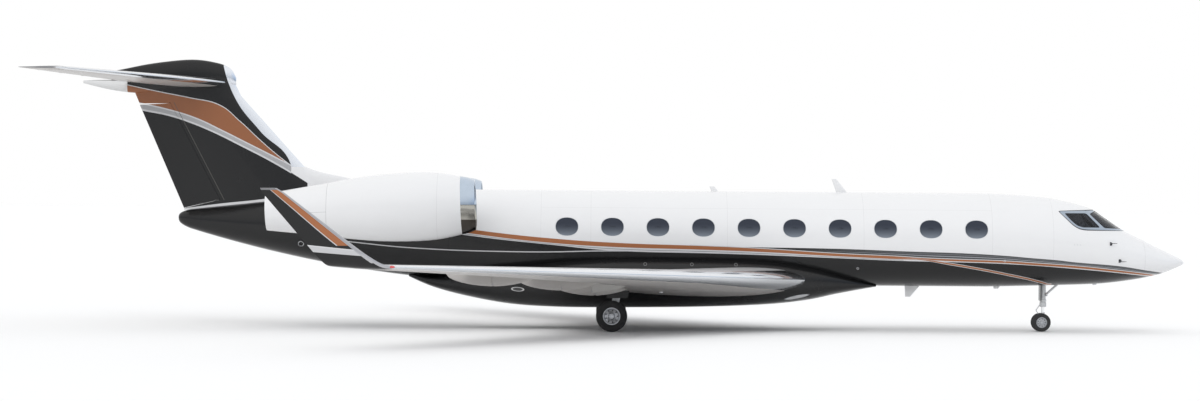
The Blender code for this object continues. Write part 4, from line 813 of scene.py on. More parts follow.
def on_skin(station, z, side, proud=0.0):
    """Point on the fuselage's side, and the direction out of it."""
    top, bottom, half_width = fuselage_section(station)
    centre, half_height = (top + bottom) / 2, (top - bottom) / 2
    share = max(min((z - centre) / half_height, 1.0), -1.0)
    y = half_width * sqrt(max(1 - share * share, 0.0))
    out = vec(0, side * y / half_width**2, (z - centre) / half_height**2).normalized()
    return at(station, side * y, z) + out * proud, out


def steps(start, end, pitch):
    count = max(int(ceil((end - start) / pitch)), 1)
    return [mix(start, end, i / count) for i in range(count + 1)]


def wall(bm, outer_inset, inner_inset, stations):
    """Fuselage wall between two depths; the inner skin has the second material."""
    outer = [fuselage_ring(station, outer_inset) for station in stations]
    inner = [fuselage_ring(station, inner_inset) for station in stations]
    loops = [[[bm.verts.new(point) for point in ring] for ring in rings] for rings in (outer, inner)]
    for k, rows in enumerate(loops):
        for first, second in zip(rows, rows[1:]):
            skin(bm, first, second, lambda i, k=k: k)
    for end in (0, -1):
        skin(bm, loops[0][end], loops[1][end])


def rounded(outline, radius, count=5):
    """Outline with each corner rounded."""
    points = []
    total = len(outline)
    for i in range(total):
        previous, here, following = outline[i - 1], outline[i], outline[(i + 1) % total]
        to_previous = (previous[0] - here[0], previous[1] - here[1])
        to_next = (following[0] - here[0], following[1] - here[1])
        a = hypot(*to_previous)
        b = hypot(*to_next)
        reach = min(radius, a * 0.45, b * 0.45)
        start = (here[0] + to_previous[0] / a * reach, here[1] + to_previous[1] / a * reach)
        end = (here[0] + to_next[0] / b * reach, here[1] + to_next[1] / b * reach)
        for k in range(count + 1):
            t = k / count
            points.append(tuple((1 - t) ** 2 * p + 2 * t * (1 - t) * q + t**2 * r
                                for p, q, r in zip(start, here, end)))
    return points


def prism(bm, outline, y_low, y_high):
    """Side-view outline of (station, height) points, drawn across the fuselage."""
    loft(bm, [[at(station, y, z) for station, z in outline] for y in (y_low, y_high)])


def grow(outline, amount):
    """Move each corner of an outline away from its middle."""
    middle_s = sum(s for s, z in outline) / len(outline)
    middle_z = sum(z for s, z in outline) / len(outline)
    points = []
    for s, z in outline:
        run = hypot(s - middle_s, z - middle_z)
        points.append((s + (s - middle_s) / run * amount, z + (z - middle_z) / run * amount))
    return points


def hollow(bm, stations, cavity):
    """Fuselage section, open at its first station; the inner skin has the second material."""
    outer, inner = ([[bm.verts.new(point) for point in fuselage_ring(station, inset)] for station in row]
                    for row, inset in ((stations, 0.0), (cavity, WALL)))
    for index, rows in enumerate((outer, inner)):
        for first, second in zip(rows, rows[1:]):
            skin(bm, first, second, lambda i, index=index: index)
        bm.faces.new(rows[-1]).material_index = index
    skin(bm, outer[0], inner[0], lambda i: 1)


def window_cuts(bm):
    for side in (1, -1):
        for i in range(WINDOW_COUNT):
            prism(bm, window_outline(FIRST_WINDOW + WINDOW_PITCH * i, 0.0), side * 0.9,
                  side * MAX_HALF_WIDTH)


def build_fuselage():
    bm = bmesh.new()
    loft(bm, [fuselage_ring(station, 0.0, min(sqrt(station / BLUNT_TIP), 1.0)) for station in RADOME_RINGS])
    piece("radome_skin", bm, "body", "nose_radome")

    bm = bmesh.new()
    stations = steps(RADOME_END, NOSE_END, 0.11)
    cavity = [station for station in stations[::-1] if station >= NOSE_CAVITY_START]
    loft(bm, [fuselage_ring(station) for station in stations]
         + [fuselage_ring(station, WALL) for station in cavity])
    outer_faces = (len(stations) - 1) * RING_POINTS
    front = len(bm.faces) - 2
    for k, face in enumerate(bm.faces):
        face.material_index = int(k >= outer_faces and k != front)
    nose = piece("nose_skin", bm, "body lining dark_metal", "fuselage_nose")
    outline = ((DOOR_FRONT, DOOR_SILL_Z), (DOOR_REAR, DOOR_SILL_Z), (DOOR_REAR, DOOR_TOP_Z),
               (DOOR_FRONT, DOOR_TOP_Z))
    combine(nose, "DIFFERENCE", prism, outline, 0.55, MAX_HALF_WIDTH, index=2)
    combine(nose, "DIFFERENCE", prism, WINDSHIELD_OUTLINE, -MAX_HALF_WIDTH, MAX_HALF_WIDTH, index=2)
    even_shading(nose)

    bm = bmesh.new()
    wall(bm, 0.0, WALL, steps(NOSE_END, CABIN_END, 0.66))
    cabin = piece("cabin_skin", bm, "body lining rim", "fuselage_cabin")
    combine(cabin, "DIFFERENCE", window_cuts, index=2)
    even_shading(cabin)

    bm = bmesh.new()
    stations = steps(CABIN_END, AFT_END, 0.22)
    hollow(bm, stations, [station for station in stations if station < AFT_END - 0.4])
    piece("aft_skin", bm, "body lining", "fuselage_aft")

    bm = bmesh.new()
    rings = [fuselage_ring(station) for station in steps(AFT_END, CONE_END, 0.2)]
    for i in range(1, 11):
        angle = pi / 2 * i / 10.3
        rings.append(fuselage_ring(CONE_END + CONE_CAP * sin(angle), 0.0, cos(angle) ** 0.6))
    loft(bm, rings)
    piece("tail_cone_skin", bm, "body", "tail_cone")


def window_outline(station, inset, count=40):
    points = []
    for c, s in circle(count, 0.5):
        reach = (abs(c) ** 2.25 + abs(s) ** 2.25) ** (-1 / 2.25)
        points.append((station + (WINDOW_LENGTH / 2 - inset) * reach * c,
                       WINDOW_Z + (WINDOW_HEIGHT / 2 - inset) * reach * s))
    return points


def window_rings(station, side, profile):
    """Outlines of a window laid on the fuselage's side, for (inset, depth below the skin) points."""
    return [[on_skin(s, z, side, -depth)[0] for s, z in window_outline(station, inset)]
            for inset, depth in profile]


def build_windows():
    """Each window is a rim, an outer pane set in a little, and a trim funnel inside."""
    for side in (1, -1):
        tag = side_name(side)
        panes, rims, trims = bmesh.new(), bmesh.new(), bmesh.new()
        for i in range(WINDOW_COUNT):
            station = FIRST_WINDOW + WINDOW_PITCH * i
            loft(panes, window_rings(station, side, PANE_PROFILE))
            loft(rims, window_rings(station, side, RIM_PROFILE), closed=True)
            loft(trims, window_rings(station, side, TRIM_PROFILE), closed=True)
        piece(f"window_panes_{tag}", panes, "window", f"cabin_windows_{tag}")
        piece(f"window_rims_{tag}", rims, "rim")
        piece(f"window_trims_{tag}", trims, "lining")


def pane_solids(bm, change=0.0):
    """Solids that fill the two panes a side when seen from the side."""
    for outline, radius, low, high in ((SIDE_PANE, 0.055, 0.55, 1.6), (FRONT_PANE, 0.05, CENTRE_POST, 1.3)):
        for y_low, y_high in ((low, high), (-high, -low)):
            prism(bm, grow(rounded(outline, radius), change), y_low, y_high)


def windshield_solid(bm, change, radius):
    prism(bm, rounded(grow(WINDSHIELD_OUTLINE, change), radius), -MAX_HALF_WIDTH, MAX_HALF_WIDTH)


def build_windshield():
    """Metal frame with a centre post, panes and a dark gasket round the frame."""
    stations = steps(1.60, 3.95, 0.05)
    bm = bmesh.new()
    wall(bm, -0.002, 0.05, stations)
    surround = piece("windshield_surround", bm, "frame dark_metal", "windshield_frame")
    combine(surround, "INTERSECT", windshield_solid, 0.0, 0.09, index=1)
    combine(surround, "DIFFERENCE", pane_solids, index=1)
    even_shading(surround)
    bm = bmesh.new()
    wall(bm, -0.003, 0.02, stations)
    gasket = piece("windshield_gasket", bm, "seal seal")
    combine(gasket, "INTERSECT", windshield_solid, 0.020, 0.10)
    combine(gasket, "DIFFERENCE", windshield_solid, -0.010, 0.08)
    bm = bmesh.new()
    wall(bm, 0.014, 0.030, stations)
    panes = piece("windshield_panes", bm, "cockpit_glass", "windshield_glass")
    combine(panes, "INTERSECT", pane_solids, -0.001)


def build_door():
    """Port airstair door, with carpeted steps and side rails inside."""
    bm = bmesh.new()
    wall(bm, 0.0, WALL, steps(DOOR_FRONT - 0.3, NOSE_END - 0.001, 0.1))
    door = piece("airstair_skin", bm, "body lining seal", "airstair_door", body="airstair")
    front, rear = DOOR_FRONT + DOOR_GAP, DOOR_REAR - DOOR_GAP
    low, high = DOOR_SILL_Z + DOOR_GAP, DOOR_TOP_Z - DOOR_GAP
    combine(door, "INTERSECT", prism, ((front, low), (rear, low), (rear, high), (front, high)), 0.5, 1.8,
            index=2)
    even_shading(door)
    treads, rails = bmesh.new(), bmesh.new()
    for i in range(4):
        z = 2.12 + 0.34 * i
        edge = lining_y(z)
        box(treads, at(rear - 0.12, edge - 0.20, z), at(front + 0.12, edge + 0.02, z + 0.035))
        box(rails, at(rear - 0.12, edge - 0.205, z + 0.004), at(front + 0.12, edge - 0.198, z + 0.036))
    outline = [(lining_y(z) - depth, z) for depth, z in RAIL_OUTLINE]
    for station in (front + 0.09, rear - 0.13):
        loft(rails, [[at(s, y, z) for y, z in outline] for s in (station, station + 0.04)])
    piece("airstair_steps", treads, "carpet", body="airstair")
    piece("airstair_rails", rails, "alloy", body="airstair")
    bm = bmesh.new()
    for station in (front + 0.25, rear - 0.25):
        point, out = on_skin(station, 3.35, 1, 0.0005)
        rod(bm, point - out * 0.01, point + out * 0.002, 0.03, 24)
    point = on_skin(4.92, 2.9, 1)[0]
    box(bm, point + vec(-0.09, -0.01, -0.02), point + vec(0.09, 0.004, 0.02))
    piece("airstair_handle", bm, "alloy", body="airstair")


def lining_y(z):
    """Distance of the door's inner skin from the middle plane."""
    return on_skin(4.61, z, 1)[0].y - WALL


def door_hinge(station):
    """Point on the sill hinge, just outside the skin."""
    return at(station, 1.04102 + 0.03506 * (station - 4.925), 1.805)


def hinge_lug(bm, start, end, low, high):
    """Lug that ties the hinge line to the skin between two stations."""
    axis = door_hinge((start + end) / 2)
    box(bm, at(end, axis.y - 0.045, axis.z + low), at(start, axis.y + 0.0056, axis.z + high))


def build_door_hinge():
    """Bar and three lugs on the door, between fixed knuckles on the fuselage."""
    bm = bmesh.new()
    rod(bm, door_hinge(DOOR_FRONT + 0.0003), door_hinge(DOOR_REAR - 0.0003), 0.008, 20)
    for station in (4.60, 4.925, 5.25):
        hinge_lug(bm, station - 0.025, station + 0.025, 0.001, 0.030)
    piece("airstair_hinge", bm, "alloy", body="airstair")
    bm = bmesh.new()
    for start, end in ((4.41, 4.45), (5.40, 5.44)):
        rod(bm, door_hinge(start), door_hinge(end), 0.008, 20)
        hinge_lug(bm, start + 0.001, end - 0.001, -0.0056, 0.0056)
    piece("door_hinge_knuckles", bm, "alloy")


# Station, bottom, half width, top
BELLY_SECTIONS = (
    (9.00, 1.272, 0.30, 1.33), (9.50, 1.185, 0.66, 1.50), (10.20, 1.050, 1.00, 1.74),
    (11.00, 0.880, 1.30, 1.96), (12.20, 0.742, 1.52, 2.14), (14.20, 0.655, 1.60, 2.20),
    (16.60, 0.621, 1.60, 2.20), (18.20, 0.622, 1.54, 2.10), (19.60, 0.700, 1.36, 1.86),
    (20.90, 0.920, 1.02, 1.66), (21.90, 1.180, 0.62, 1.52), (22.60, 1.470, 0.30, 1.60),
)


def build_belly_fairing():
    section = [(copysign(abs(c) ** 0.72, c), copysign(abs(s) ** 0.72, s)) for c, s in circle(80)]
    bm = bmesh.new()
    loft(bm, [[at(station, half_width * across, (bottom + top) / 2 + (top - bottom) / 2 * up)
               for up, across in section]
              for station, bottom, half_width, top in smooth_profile(BELLY_SECTIONS)])
    fairing = piece("belly_fairing_skin", bm, "fairing", "belly_fairing")
    combine(fairing, "DIFFERENCE", loft,
            [fuselage_ring(station, 0.004) for station in steps(8.0, 24.0, 0.5)])
    even_shading(fairing)


# Lifting surfaces


def half_thickness(fraction):
    """Half thickness of the section for a thickness ratio of one, straight behind 65 per cent."""
    f = min(fraction, 0.65)
    value = 5 * (0.2969 * sqrt(f) - 0.1260 * f - 0.3516 * f**2 + 0.2843 * f**3 - 0.1036 * f**4)
    if fraction > 0.65:
        value *= (1 - fraction) / 0.35
    return value


FRACTIONS = (1.0, 0.65, 0.57, 0.49, 0.41, 0.34, 0.27, 0.21, 0.16, 0.115, 0.075, 0.05, 0.032, 0.018, 0.008,
             0.002)
SECTION_POINTS = ([(1, fraction) for fraction in FRACTIONS] + [(0, 0.0)]
                  + [(-1, fraction) for fraction in FRACTIONS[::-1]])
METAL_FROM = 10


class Surface:
    """A swept surface in its own axes: station, span and lift."""

    def __init__(self, stations, place):
        self.stations = stations
        self.place = place

    def row(self, span):
        rows = self.stations
        k = 0
        while k < len(rows) - 2 and span > rows[k + 1][0]:
            k += 1
        share = (span - rows[k][0]) / (rows[k + 1][0] - rows[k][0])
        return [mix(a, b, share) for a, b in zip(rows[k][1:], rows[k + 1][1:])]

    def trailing(self, span):
        row = self.row(span)
        return row[0] + row[1]

    def middle(self, station, span):
        leading, _, height, _, drop = self.row(span)
        return height - (station - leading) * drop

    def half(self, station, span):
        leading, chord, _, thickness, _ = self.row(span)
        fraction = min(max((station - leading) / chord, 0.0), 1.0)
        return max(chord * thickness * half_thickness(fraction), TRAILING_EDGE_HALF)

    def station_at(self, fraction, span):
        leading, chord = self.row(span)[:2]
        return leading + fraction * chord

    def ring(self, span):
        points = []
        for sign, fraction in SECTION_POINTS:
            station = self.station_at(fraction, span)
            points.append(self.place(station, span,
                                     self.middle(station, span) + sign * self.half(station, span)))
        return points


def chord_material(i, metal_from=METAL_FROM, below=2):
    """0 on the upper side, 1 on the polished leading edge, another number on the lower side."""
    count = len(FRACTIONS)
    if metal_from <= i < 2 * count - metal_from:
        return 1
    return 0 if i < count else below


def wing_surface(side, stations=WING_STATIONS):
    return Surface(stations, lambda station, span, lift: at(station, side * span, lift))


def stabilizer_surface(side):
    return wing_surface(side, STABILIZER_STATIONS)


def fin_surface():
    return Surface(FIN_STATIONS, lambda station, span, lift: at(station, lift, span))


class Movable:
    """A trailing-edge surface with a round nose on its hinge line, and the bay that it sits in."""

    ARC_STEPS = 14

    def __init__(self, surface, nose_in, nose_out, tail_in=None, tail_out=None):
        self.surface = surface
        run = (nose_out[0] - nose_in[0], nose_out[1] - nose_in[1])
        length = hypot(*run)
        self.along = (run[0] / length, run[1] / length)
        self.across = (self.along[1], -self.along[0])
        self.noses = (nose_in, nose_out)
        self.tails = (tail_in or self.tail(nose_in), tail_out or self.tail(nose_out))
        self.climb = (surface.middle(*nose_out) - surface.middle(*nose_in)) / length

    def tail(self, nose):
        """Where the line square to the hinge meets the trailing edge."""
        low, high = 0.0, 6.0
        for _ in range(40):
            reach = (low + high) / 2
            station = nose[0] + reach * self.across[0]
            span = nose[1] + reach * self.across[1]
            if station < self.surface.trailing(span):
                low = reach
            else:
                high = reach
        return station, span

    def shift(self, point, distance):
        return point[0] + self.along[0] * distance, point[1] + self.along[1] * distance

    def end_points(self, end, shift, radius_gap, tail_reach, height):
        """Section at one end: the arc is square to the hinge, the rest runs to the tail."""
        nose = self.shift(self.noses[end], shift)
        tail = self.shift(self.tails[end], shift)
        run = (tail[0] - nose[0], tail[1] - nose[1])
        length = hypot(*run)
        stretch = (length + tail_reach) / length
        tail = (nose[0] + run[0] * stretch, nose[1] + run[1] * stretch)
        heel = (nose[0] + self.across[0] * HEEL, nose[1] + self.across[1] * HEEL)
        middle = self.surface.middle(*nose)
        radius = self.surface.half(*nose) + radius_gap
        tail_middle = self.surface.middle(*tail)
        points = []
        if height:
            up, down = height
            points.append((*tail, tail_middle + up))
            points.append((*heel, middle + up))
            points.append((*nose, middle + up))
        else:
            share = HEEL / length
            heel_middle = mix(middle, tail_middle, share)
            heel_half = mix(radius, TRAILING_EDGE_HALF, share)
            points.append((*tail, tail_middle + TRAILING_EDGE_HALF))
            points.append((*heel, heel_middle + heel_half))
        for i in range(self.ARC_STEPS + 1):
            angle = pi * i / self.ARC_STEPS
            ahead = -radius * sin(angle)
            points.append((nose[0] + self.across[0] * ahead, nose[1] + self.across[1] * ahead,
                           middle + radius * cos(angle)))
        if height:
            points.append((*nose, middle - down))
            points.append((*heel, middle - down))
            points.append((*tail, tail_middle - down))
        else:
            points.append((*heel, heel_middle - heel_half))
            points.append((*tail, tail_middle - TRAILING_EDGE_HALF))
        return [self.squared(point, middle) for point in points]

    def squared(self, point, middle):
        """Lean the end section so that it stays square to a hinge that climbs outward."""
        station, span, lift = point
        back = (lift - middle) * self.climb
        return self.surface.place(station - self.along[0] * back, span - self.along[1] * back, lift)

    def skin(self, bm, ends, index=0):
        loops = [[bm.verts.new(point) for point in ring] for ring in ends]
        skin(bm, *loops, lambda i: index)
        for loop in loops:
            bm.faces.new((loop[0], loop[1], loop[-2], loop[-1])).material_index = index
            bm.faces.new(loop[1:-1]).material_index = index

    def solid(self, bm, gap=END_GAP):
        self.skin(bm, [self.end_points(0, gap, 0.0, 0.0, None), self.end_points(1, -gap, 0.0, 0.0, None)])

    def bay(self, bm, height=(0.4, 0.4), index=3):
        self.skin(bm, [self.end_points(end, 0.0, COVE_GAP, 0.5, height) for end in (0, 1)], index)


FAIRING_DEPTH = 0.27
FAIRING_HALF_WIDTH = 0.10
FAIRING_FRONT = 1.15
FAIRING_REAR = 1.25
KNUCKLE_RADIUS = 0.030
SPLIT_GAP = 0.007


def fairing_half(bm, hinge, span, start, end):
    """Part of a canoe-shaped fairing, from one distance aft of the hinge to another."""
    surface = hinge.movable.surface
    hinge_station = hinge.hinge_station(span)
    rings = []
    for i in range(18):
        along = mix(start, end, i / 17)
        reach = FAIRING_REAR if along > 0 else FAIRING_FRONT
        fullness = sqrt(max(1 - (abs(along) / reach) ** 1.7, 0.004))
        station = hinge_station + along
        top = surface.middle(min(station, surface.trailing(span) - 0.02), span)
        depth = (surface.half(hinge_station, span) + FAIRING_DEPTH) * fullness
        ring = []
        for k in range(21):
            angle = pi * k / 20
            offset = FAIRING_HALF_WIDTH * copysign(abs(cos(angle)) ** 0.8, cos(angle)) * fullness
            ring.append(surface.place(station + hinge.shear * offset, span + offset,
                                      top - depth * sin(angle) ** 0.7))
        rings.append(ring)
    loft(bm, rings)


RELIEF_ANGLE = radians(50)
RELIEF_DEPTH = 0.25
RELIEF_HALF_LENGTH = 0.16


def fairing_relief(bm, centre, direction):
    """Wedge below the hinge line, which a flap's fairing leaves open to turn clear of the wing's."""
    along = direction.normalized()
    aft = vec(0, 0, 1).cross(along).normalized()
    if aft.x > 0:
        aft = -aft
    down = along.cross(aft).normalized()
    if down.z > 0:
        down = -down
    reach = RELIEF_DEPTH * tan(RELIEF_ANGLE)
    section = (Vector(), down * RELIEF_DEPTH + aft * reach, down * RELIEF_DEPTH)
    loft(bm, [[centre + along * offset + point for point in section]
              for offset in (-RELIEF_HALF_LENGTH, RELIEF_HALF_LENGTH)])


class DroppedHinge:
    """Hinge line below a flap, inside its fairings."""

    def __init__(self, movable, spans):
        self.movable = movable
        self.spans = spans
        self.shear = movable.along[0] / movable.along[1]

    def hinge_station(self, span):
        nose = self.movable.noses[0]
        return nose[0] + (span - nose[1]) * self.shear

    def point(self, span):
        surface = self.movable.surface
        thinnest = surface.half(self.hinge_station(self.spans[1]), self.spans[1])
        nose = self.movable.noses[0]
        level = surface.middle(*nose) + self.movable.climb * (span - nose[1]) / self.movable.along[1]
        return surface.place(self.hinge_station(span), span,
                             level - thinnest - FAIRING_DEPTH + KNUCKLE_RADIUS + 0.012)

    def direction(self):
        return (self.point(self.spans[1]) - self.point(self.spans[0])).normalized()

    def knuckle(self, bm, span, half, radius):
        offset = self.direction() * half
        rod(bm, self.point(span) - offset, self.point(span) + offset, radius, 32)


def flap_like(surface, row):
    span_in, span_out, chord_in, chord_out = row
    nose_in = (surface.trailing(span_in) - chord_in, span_in)
    nose_out = (surface.trailing(span_out) - chord_out, span_out)
    return Movable(surface, nose_in, nose_out)


def spoiler_pocket(bm, surface):
    """Opening in the wing's upper side, square to the spoiler's hinge line."""
    span_in, span_out, fraction = SPOILERS
    ends = [(surface.station_at(fraction, span), span) for span in (span_in, span_out)]
    run = (ends[1][0] - ends[0][0], ends[1][1] - ends[0][1])
    length = hypot(*run)
    across = (run[1] / length, -run[0] / length)
    rings = []
    for (station, span), chord in zip(ends, SPOILER_CHORDS):
        points = []
        for reach, depth in ((-0.032, 0.06), (chord + 0.012, 0.06), (chord + 0.012, -0.052),
                             (-0.032, -0.052)):
            s = station + across[0] * reach
            w = span + across[1] * reach
            points.append(surface.place(s, w, surface.middle(s, w) + surface.half(s, w) + depth))
        rings.append(points)
    loft(bm, rings)


def build_wing(side):
    surface = wing_surface(side)
    tag = side_name(side)
    bm = bmesh.new()
    loft(bm, [surface.ring(row[0]) for row in WING_STATIONS], index=chord_material)
    wing = piece(f"wing_skin_{tag}", bm, "wing_top polished wing_under cove pale_fairing",
                 f"wing_{tag}")
    hinges = {name: DroppedHinge(flap_like(surface, row), fairings)
              for name, row, fairings in (("inner", INNER_FLAP, INNER_FAIRINGS),
                                          ("outer", OUTER_FLAP, OUTER_FAIRINGS))}
    for name, hinge in hinges.items():
        for span in hinge.spans:
            combine(wing, "UNION", fairing_half, hinge, span, -FAIRING_FRONT, 0.03,
                    index=4 if name == "inner" else 2)
    for hinge in hinges.values():
        combine(wing, "DIFFERENCE", hinge.movable.bay, (0.4, 1.2))
    combine(wing, "DIFFERENCE", flap_like(surface, AILERON).bay, (0.4, 0.4))
    for name, hinge in hinges.items():
        for span in hinge.spans:
            combine(wing, "DIFFERENCE", hinge.knuckle, span, 0.4, KNUCKLE_RADIUS + 0.002, index=3)
        build_flap(name, side, hinge)
    combine(wing, "DIFFERENCE", spoiler_pocket, surface, index=3)
    even_shading(wing)
    build_winglet(side)


def build_flap(name, side, hinge):
    tag = side_name(side)
    bm = bmesh.new()
    hinge.movable.solid(bm)
    flap = piece(f"flap_skin_{name}_{tag}", bm, "flap", f"flap_{name}_{tag}",
                 body=f"{name}_flap_{tag}")
    for span in hinge.spans:
        combine(flap, "UNION", fairing_half, hinge, span, SPLIT_GAP, FAIRING_REAR)
        combine(flap, "DIFFERENCE", fairing_relief, hinge.point(span), hinge.direction())
        combine(flap, "UNION", hinge.knuckle, span, 0.05, KNUCKLE_RADIUS)
    even_shading(flap)


# Span position, rise, leading edge, chord, tilt in degrees
WINGLET_ROWS = (
    (15.10, 0.0, 22.013, 1.429, 0.0), (15.28, 0.05, 22.270, 1.400, 35.0),
    (15.42, 0.24, 22.600, 1.270, 62.0), (15.50, 0.55, 23.030, 1.110, 78.0),
    (15.66, 1.78, 24.650, 0.540, 82.0), (15.69, 1.90, 24.850, 0.400, 82.0),
)
WINGLET_BEND = 12
WING_TIP_Z = WING_STATIONS[-1][3]


def build_winglet(side):
    """Curved up from the wing tip, with a metal leading edge and cap."""
    rings = []
    for span, rise, leading, chord, tilt in smooth_profile(WINGLET_ROWS[:5], 8) + [WINGLET_ROWS[5]]:
        ring = []
        for sign, fraction in SECTION_POINTS:
            offset = sign * max(chord * 0.09 * half_thickness(fraction), TRAILING_EDGE_HALF)
            ring.append(at(leading + chord * fraction, side * (span - offset * sin(radians(tilt))),
                           WING_TIP_Z + rise + offset * cos(radians(tilt))))
        rings.append(ring)
    bm = bmesh.new()
    loops = [[bm.verts.new(p) for p in ring] for ring in rings]
    for k, (first, second) in enumerate(zip(loops, loops[1:])):
        metal_from = METAL_FROM if k < WINGLET_BEND else METAL_FROM - 1
        skin(bm, first, second, lambda i: chord_material(i, metal_from, 0))
    bm.faces.new(loops[0][::-1])
    bm.faces.new(loops[-1]).material_index = 1
    tag = side_name(side)
    even_shading(piece(f"winglet_skin_{tag}", bm, "winglet edge_metal", f"winglet_{tag}"))


def winglet_paint():
    """Charcoal with a copper stripe behind the leading edge, and a silver band across the base."""
    finish = Finish("winglet_paint", CHARCOAL, 0.26, 0.0, 0.08, 0.35)
    finish.vary(1.2, 0.05)
    rise = finish.z - WING_TIP_Z
    leading = finish.curve(rise, [(row[1], row[2]) for row in WINGLET_ROWS])
    chord = finish.curve(rise, [(row[1], row[3]) for row in WINGLET_ROWS])
    fraction = (finish.station - leading) / chord
    upright = rise > 0.52
    stripe_end = 0.32 + rise * 0.09
    finish.layer(ORANGE, upright * (fraction > 0.06) * (stripe_end > fraction))
    finish.layer(LIGHT_LINE, upright * fraction.near(stripe_end, 0.016))
    band_top = 0.40 + fraction * 0.12
    band_bottom = 0.26 + fraction * 0.10
    finish.layer((0.55, 0.55, 0.56), (band_top > rise) * (rise > band_bottom))
    finish.layer((0.68, 0.68, 0.69), rise.near(band_top, 0.012))
    finish.layer(TAIL_GREY, rise > 1.855)
    return painted(finish, 0.0002)


# Tail

# Station, top, bottom and half width; the dorsal fillet has one bottom for all
JUNCTION_SECTIONS = (
    (27.70, 7.24, 7.02, 0.04), (27.87, 7.50, 6.92, 0.13), (28.25, 7.66, 6.88, 0.19),
    (29.00, 7.753, 6.86, 0.22), (30.10, 7.64, 6.84, 0.20), (31.00, 7.46, 6.86, 0.12),
    (31.34, 7.39, 7.02, 0.03),
)
BULLET_SECTIONS = (
    (30.20, 7.00, 6.80, 0.10), (30.70, 7.10, 6.77, 0.15), (31.40, 7.14, 6.86, 0.13),
    (32.16, 7.12, 7.04, 0.03),
)
DORSAL_SECTIONS = (
    (22.60, 3.98, 0.05), (23.80, 4.20, 0.09), (24.60, 4.37, 0.11), (25.23, 4.497, 0.13),
    (25.70, 4.66, 0.15), (26.30, 4.90, 0.16),
)


def egg_rings(sections, count=48):
    return [[at(station, half_width * s, (top + bottom) / 2 + (top - bottom) / 2 * c)
             for c, s in circle(count)]
            for station, top, bottom, half_width in smooth_profile(sections)]


def build_fin():
    surface = fin_surface()
    bm = bmesh.new()
    loft(bm, [surface.ring(row[0]) for row in FIN_STATIONS])
    fin = piece("fin_skin", bm, "fin fin fin cove", "fin")
    dorsal = [(s, top, 3.3, width) for s, top, width in DORSAL_SECTIONS]
    for sections in (JUNCTION_SECTIONS, BULLET_SECTIONS, dorsal):
        combine(fin, "UNION", loft, egg_rings(sections))
    combine(fin, "DIFFERENCE", loft, [fuselage_ring(station, 0.002) for station in steps(20.2, 29.3, 0.5)])
    tail_low = (surface.trailing(3.364), 3.40)
    tail_high = (surface.trailing(6.472), 6.472)
    rudder = Movable(surface, *RUDDER_HINGE, tail_low, tail_high)
    combine(fin, "DIFFERENCE", rudder.bay, (0.5, 0.5))
    even_shading(fin)
    bm = bmesh.new()
    for end, sign in ((0, 1), (1, -1)):
        rudder.skin(bm, [rudder.end_points(end, sign * shift, 0.0, 0.0, None) for shift in (0.0005, 0.016)])
    piece("rudder_end_plates", bm, "fin")


def build_stabilizer(side):
    surface = stabilizer_surface(side)
    tag = side_name(side)
    tip = Surface(((5.10, 31.77, 1.25, 7.275, 0.09, 0.0), (5.28, 32.02, 1.045, 7.282, 0.045, 0.0)),
                  surface.place)
    bm = bmesh.new()
    rings = [surface.ring(0.16), surface.ring(5.10), tip.ring(5.22), tip.ring(5.28)]
    loft(bm, rings, index=chord_material)
    stabilizer = piece(f"stabilizer_skin_{tag}", bm, "tail_top polished wing_under cove",
                       f"stabilizer_{tag}")
    noses = [(surface.station_at(ELEVATOR_FRACTION, span), span) for span in ELEVATOR]
    combine(stabilizer, "DIFFERENCE", Movable(surface, *noses).bay)
    even_shading(stabilizer)


# Engines

# Distance behind the inlet, radius
OUTER_LINE = ((0.40, 0.825), (0.95, 0.930), (1.60, 0.975), (2.60, 0.950), (3.50, 0.860), (4.22, 0.750),
              (5.93, 0.525))
INNER_LINE = ((5.93, 0.510), (4.22, 0.660), (2.60, 0.660), (1.20, 0.640), (0.40, 0.625))
LIP_LINE = ((0.40, 0.825), (0.20, 0.785), (0.05, 0.730), (0.0, 0.700), (0.04, 0.660), (0.20, 0.630),
            (0.40, 0.625))
BLADES = 22
# Count, turn of the first as a share of the spacing, distance behind the inlet, radii, section
GUIDE_VANES = (36, 0.0, 1.75, (0.42, 0.648), ((-0.09, 0.012), (0.0, 0.010), (0.10, -0.012), (0.0, 0.002)))
STRUTS = (4, 0.5, 2.9, (0.35, 0.655), ((-0.25, 0.0), (-0.15, 0.02), (0.25, 0.0), (-0.15, -0.02)))


def nacelle_axis(side):
    base = at(NACELLE_FRONT, side * NACELLE_Y, NACELLE_FRONT_Z)
    return base, vec(-cos(NACELLE_DROOP), 0, -sin(NACELLE_DROOP))


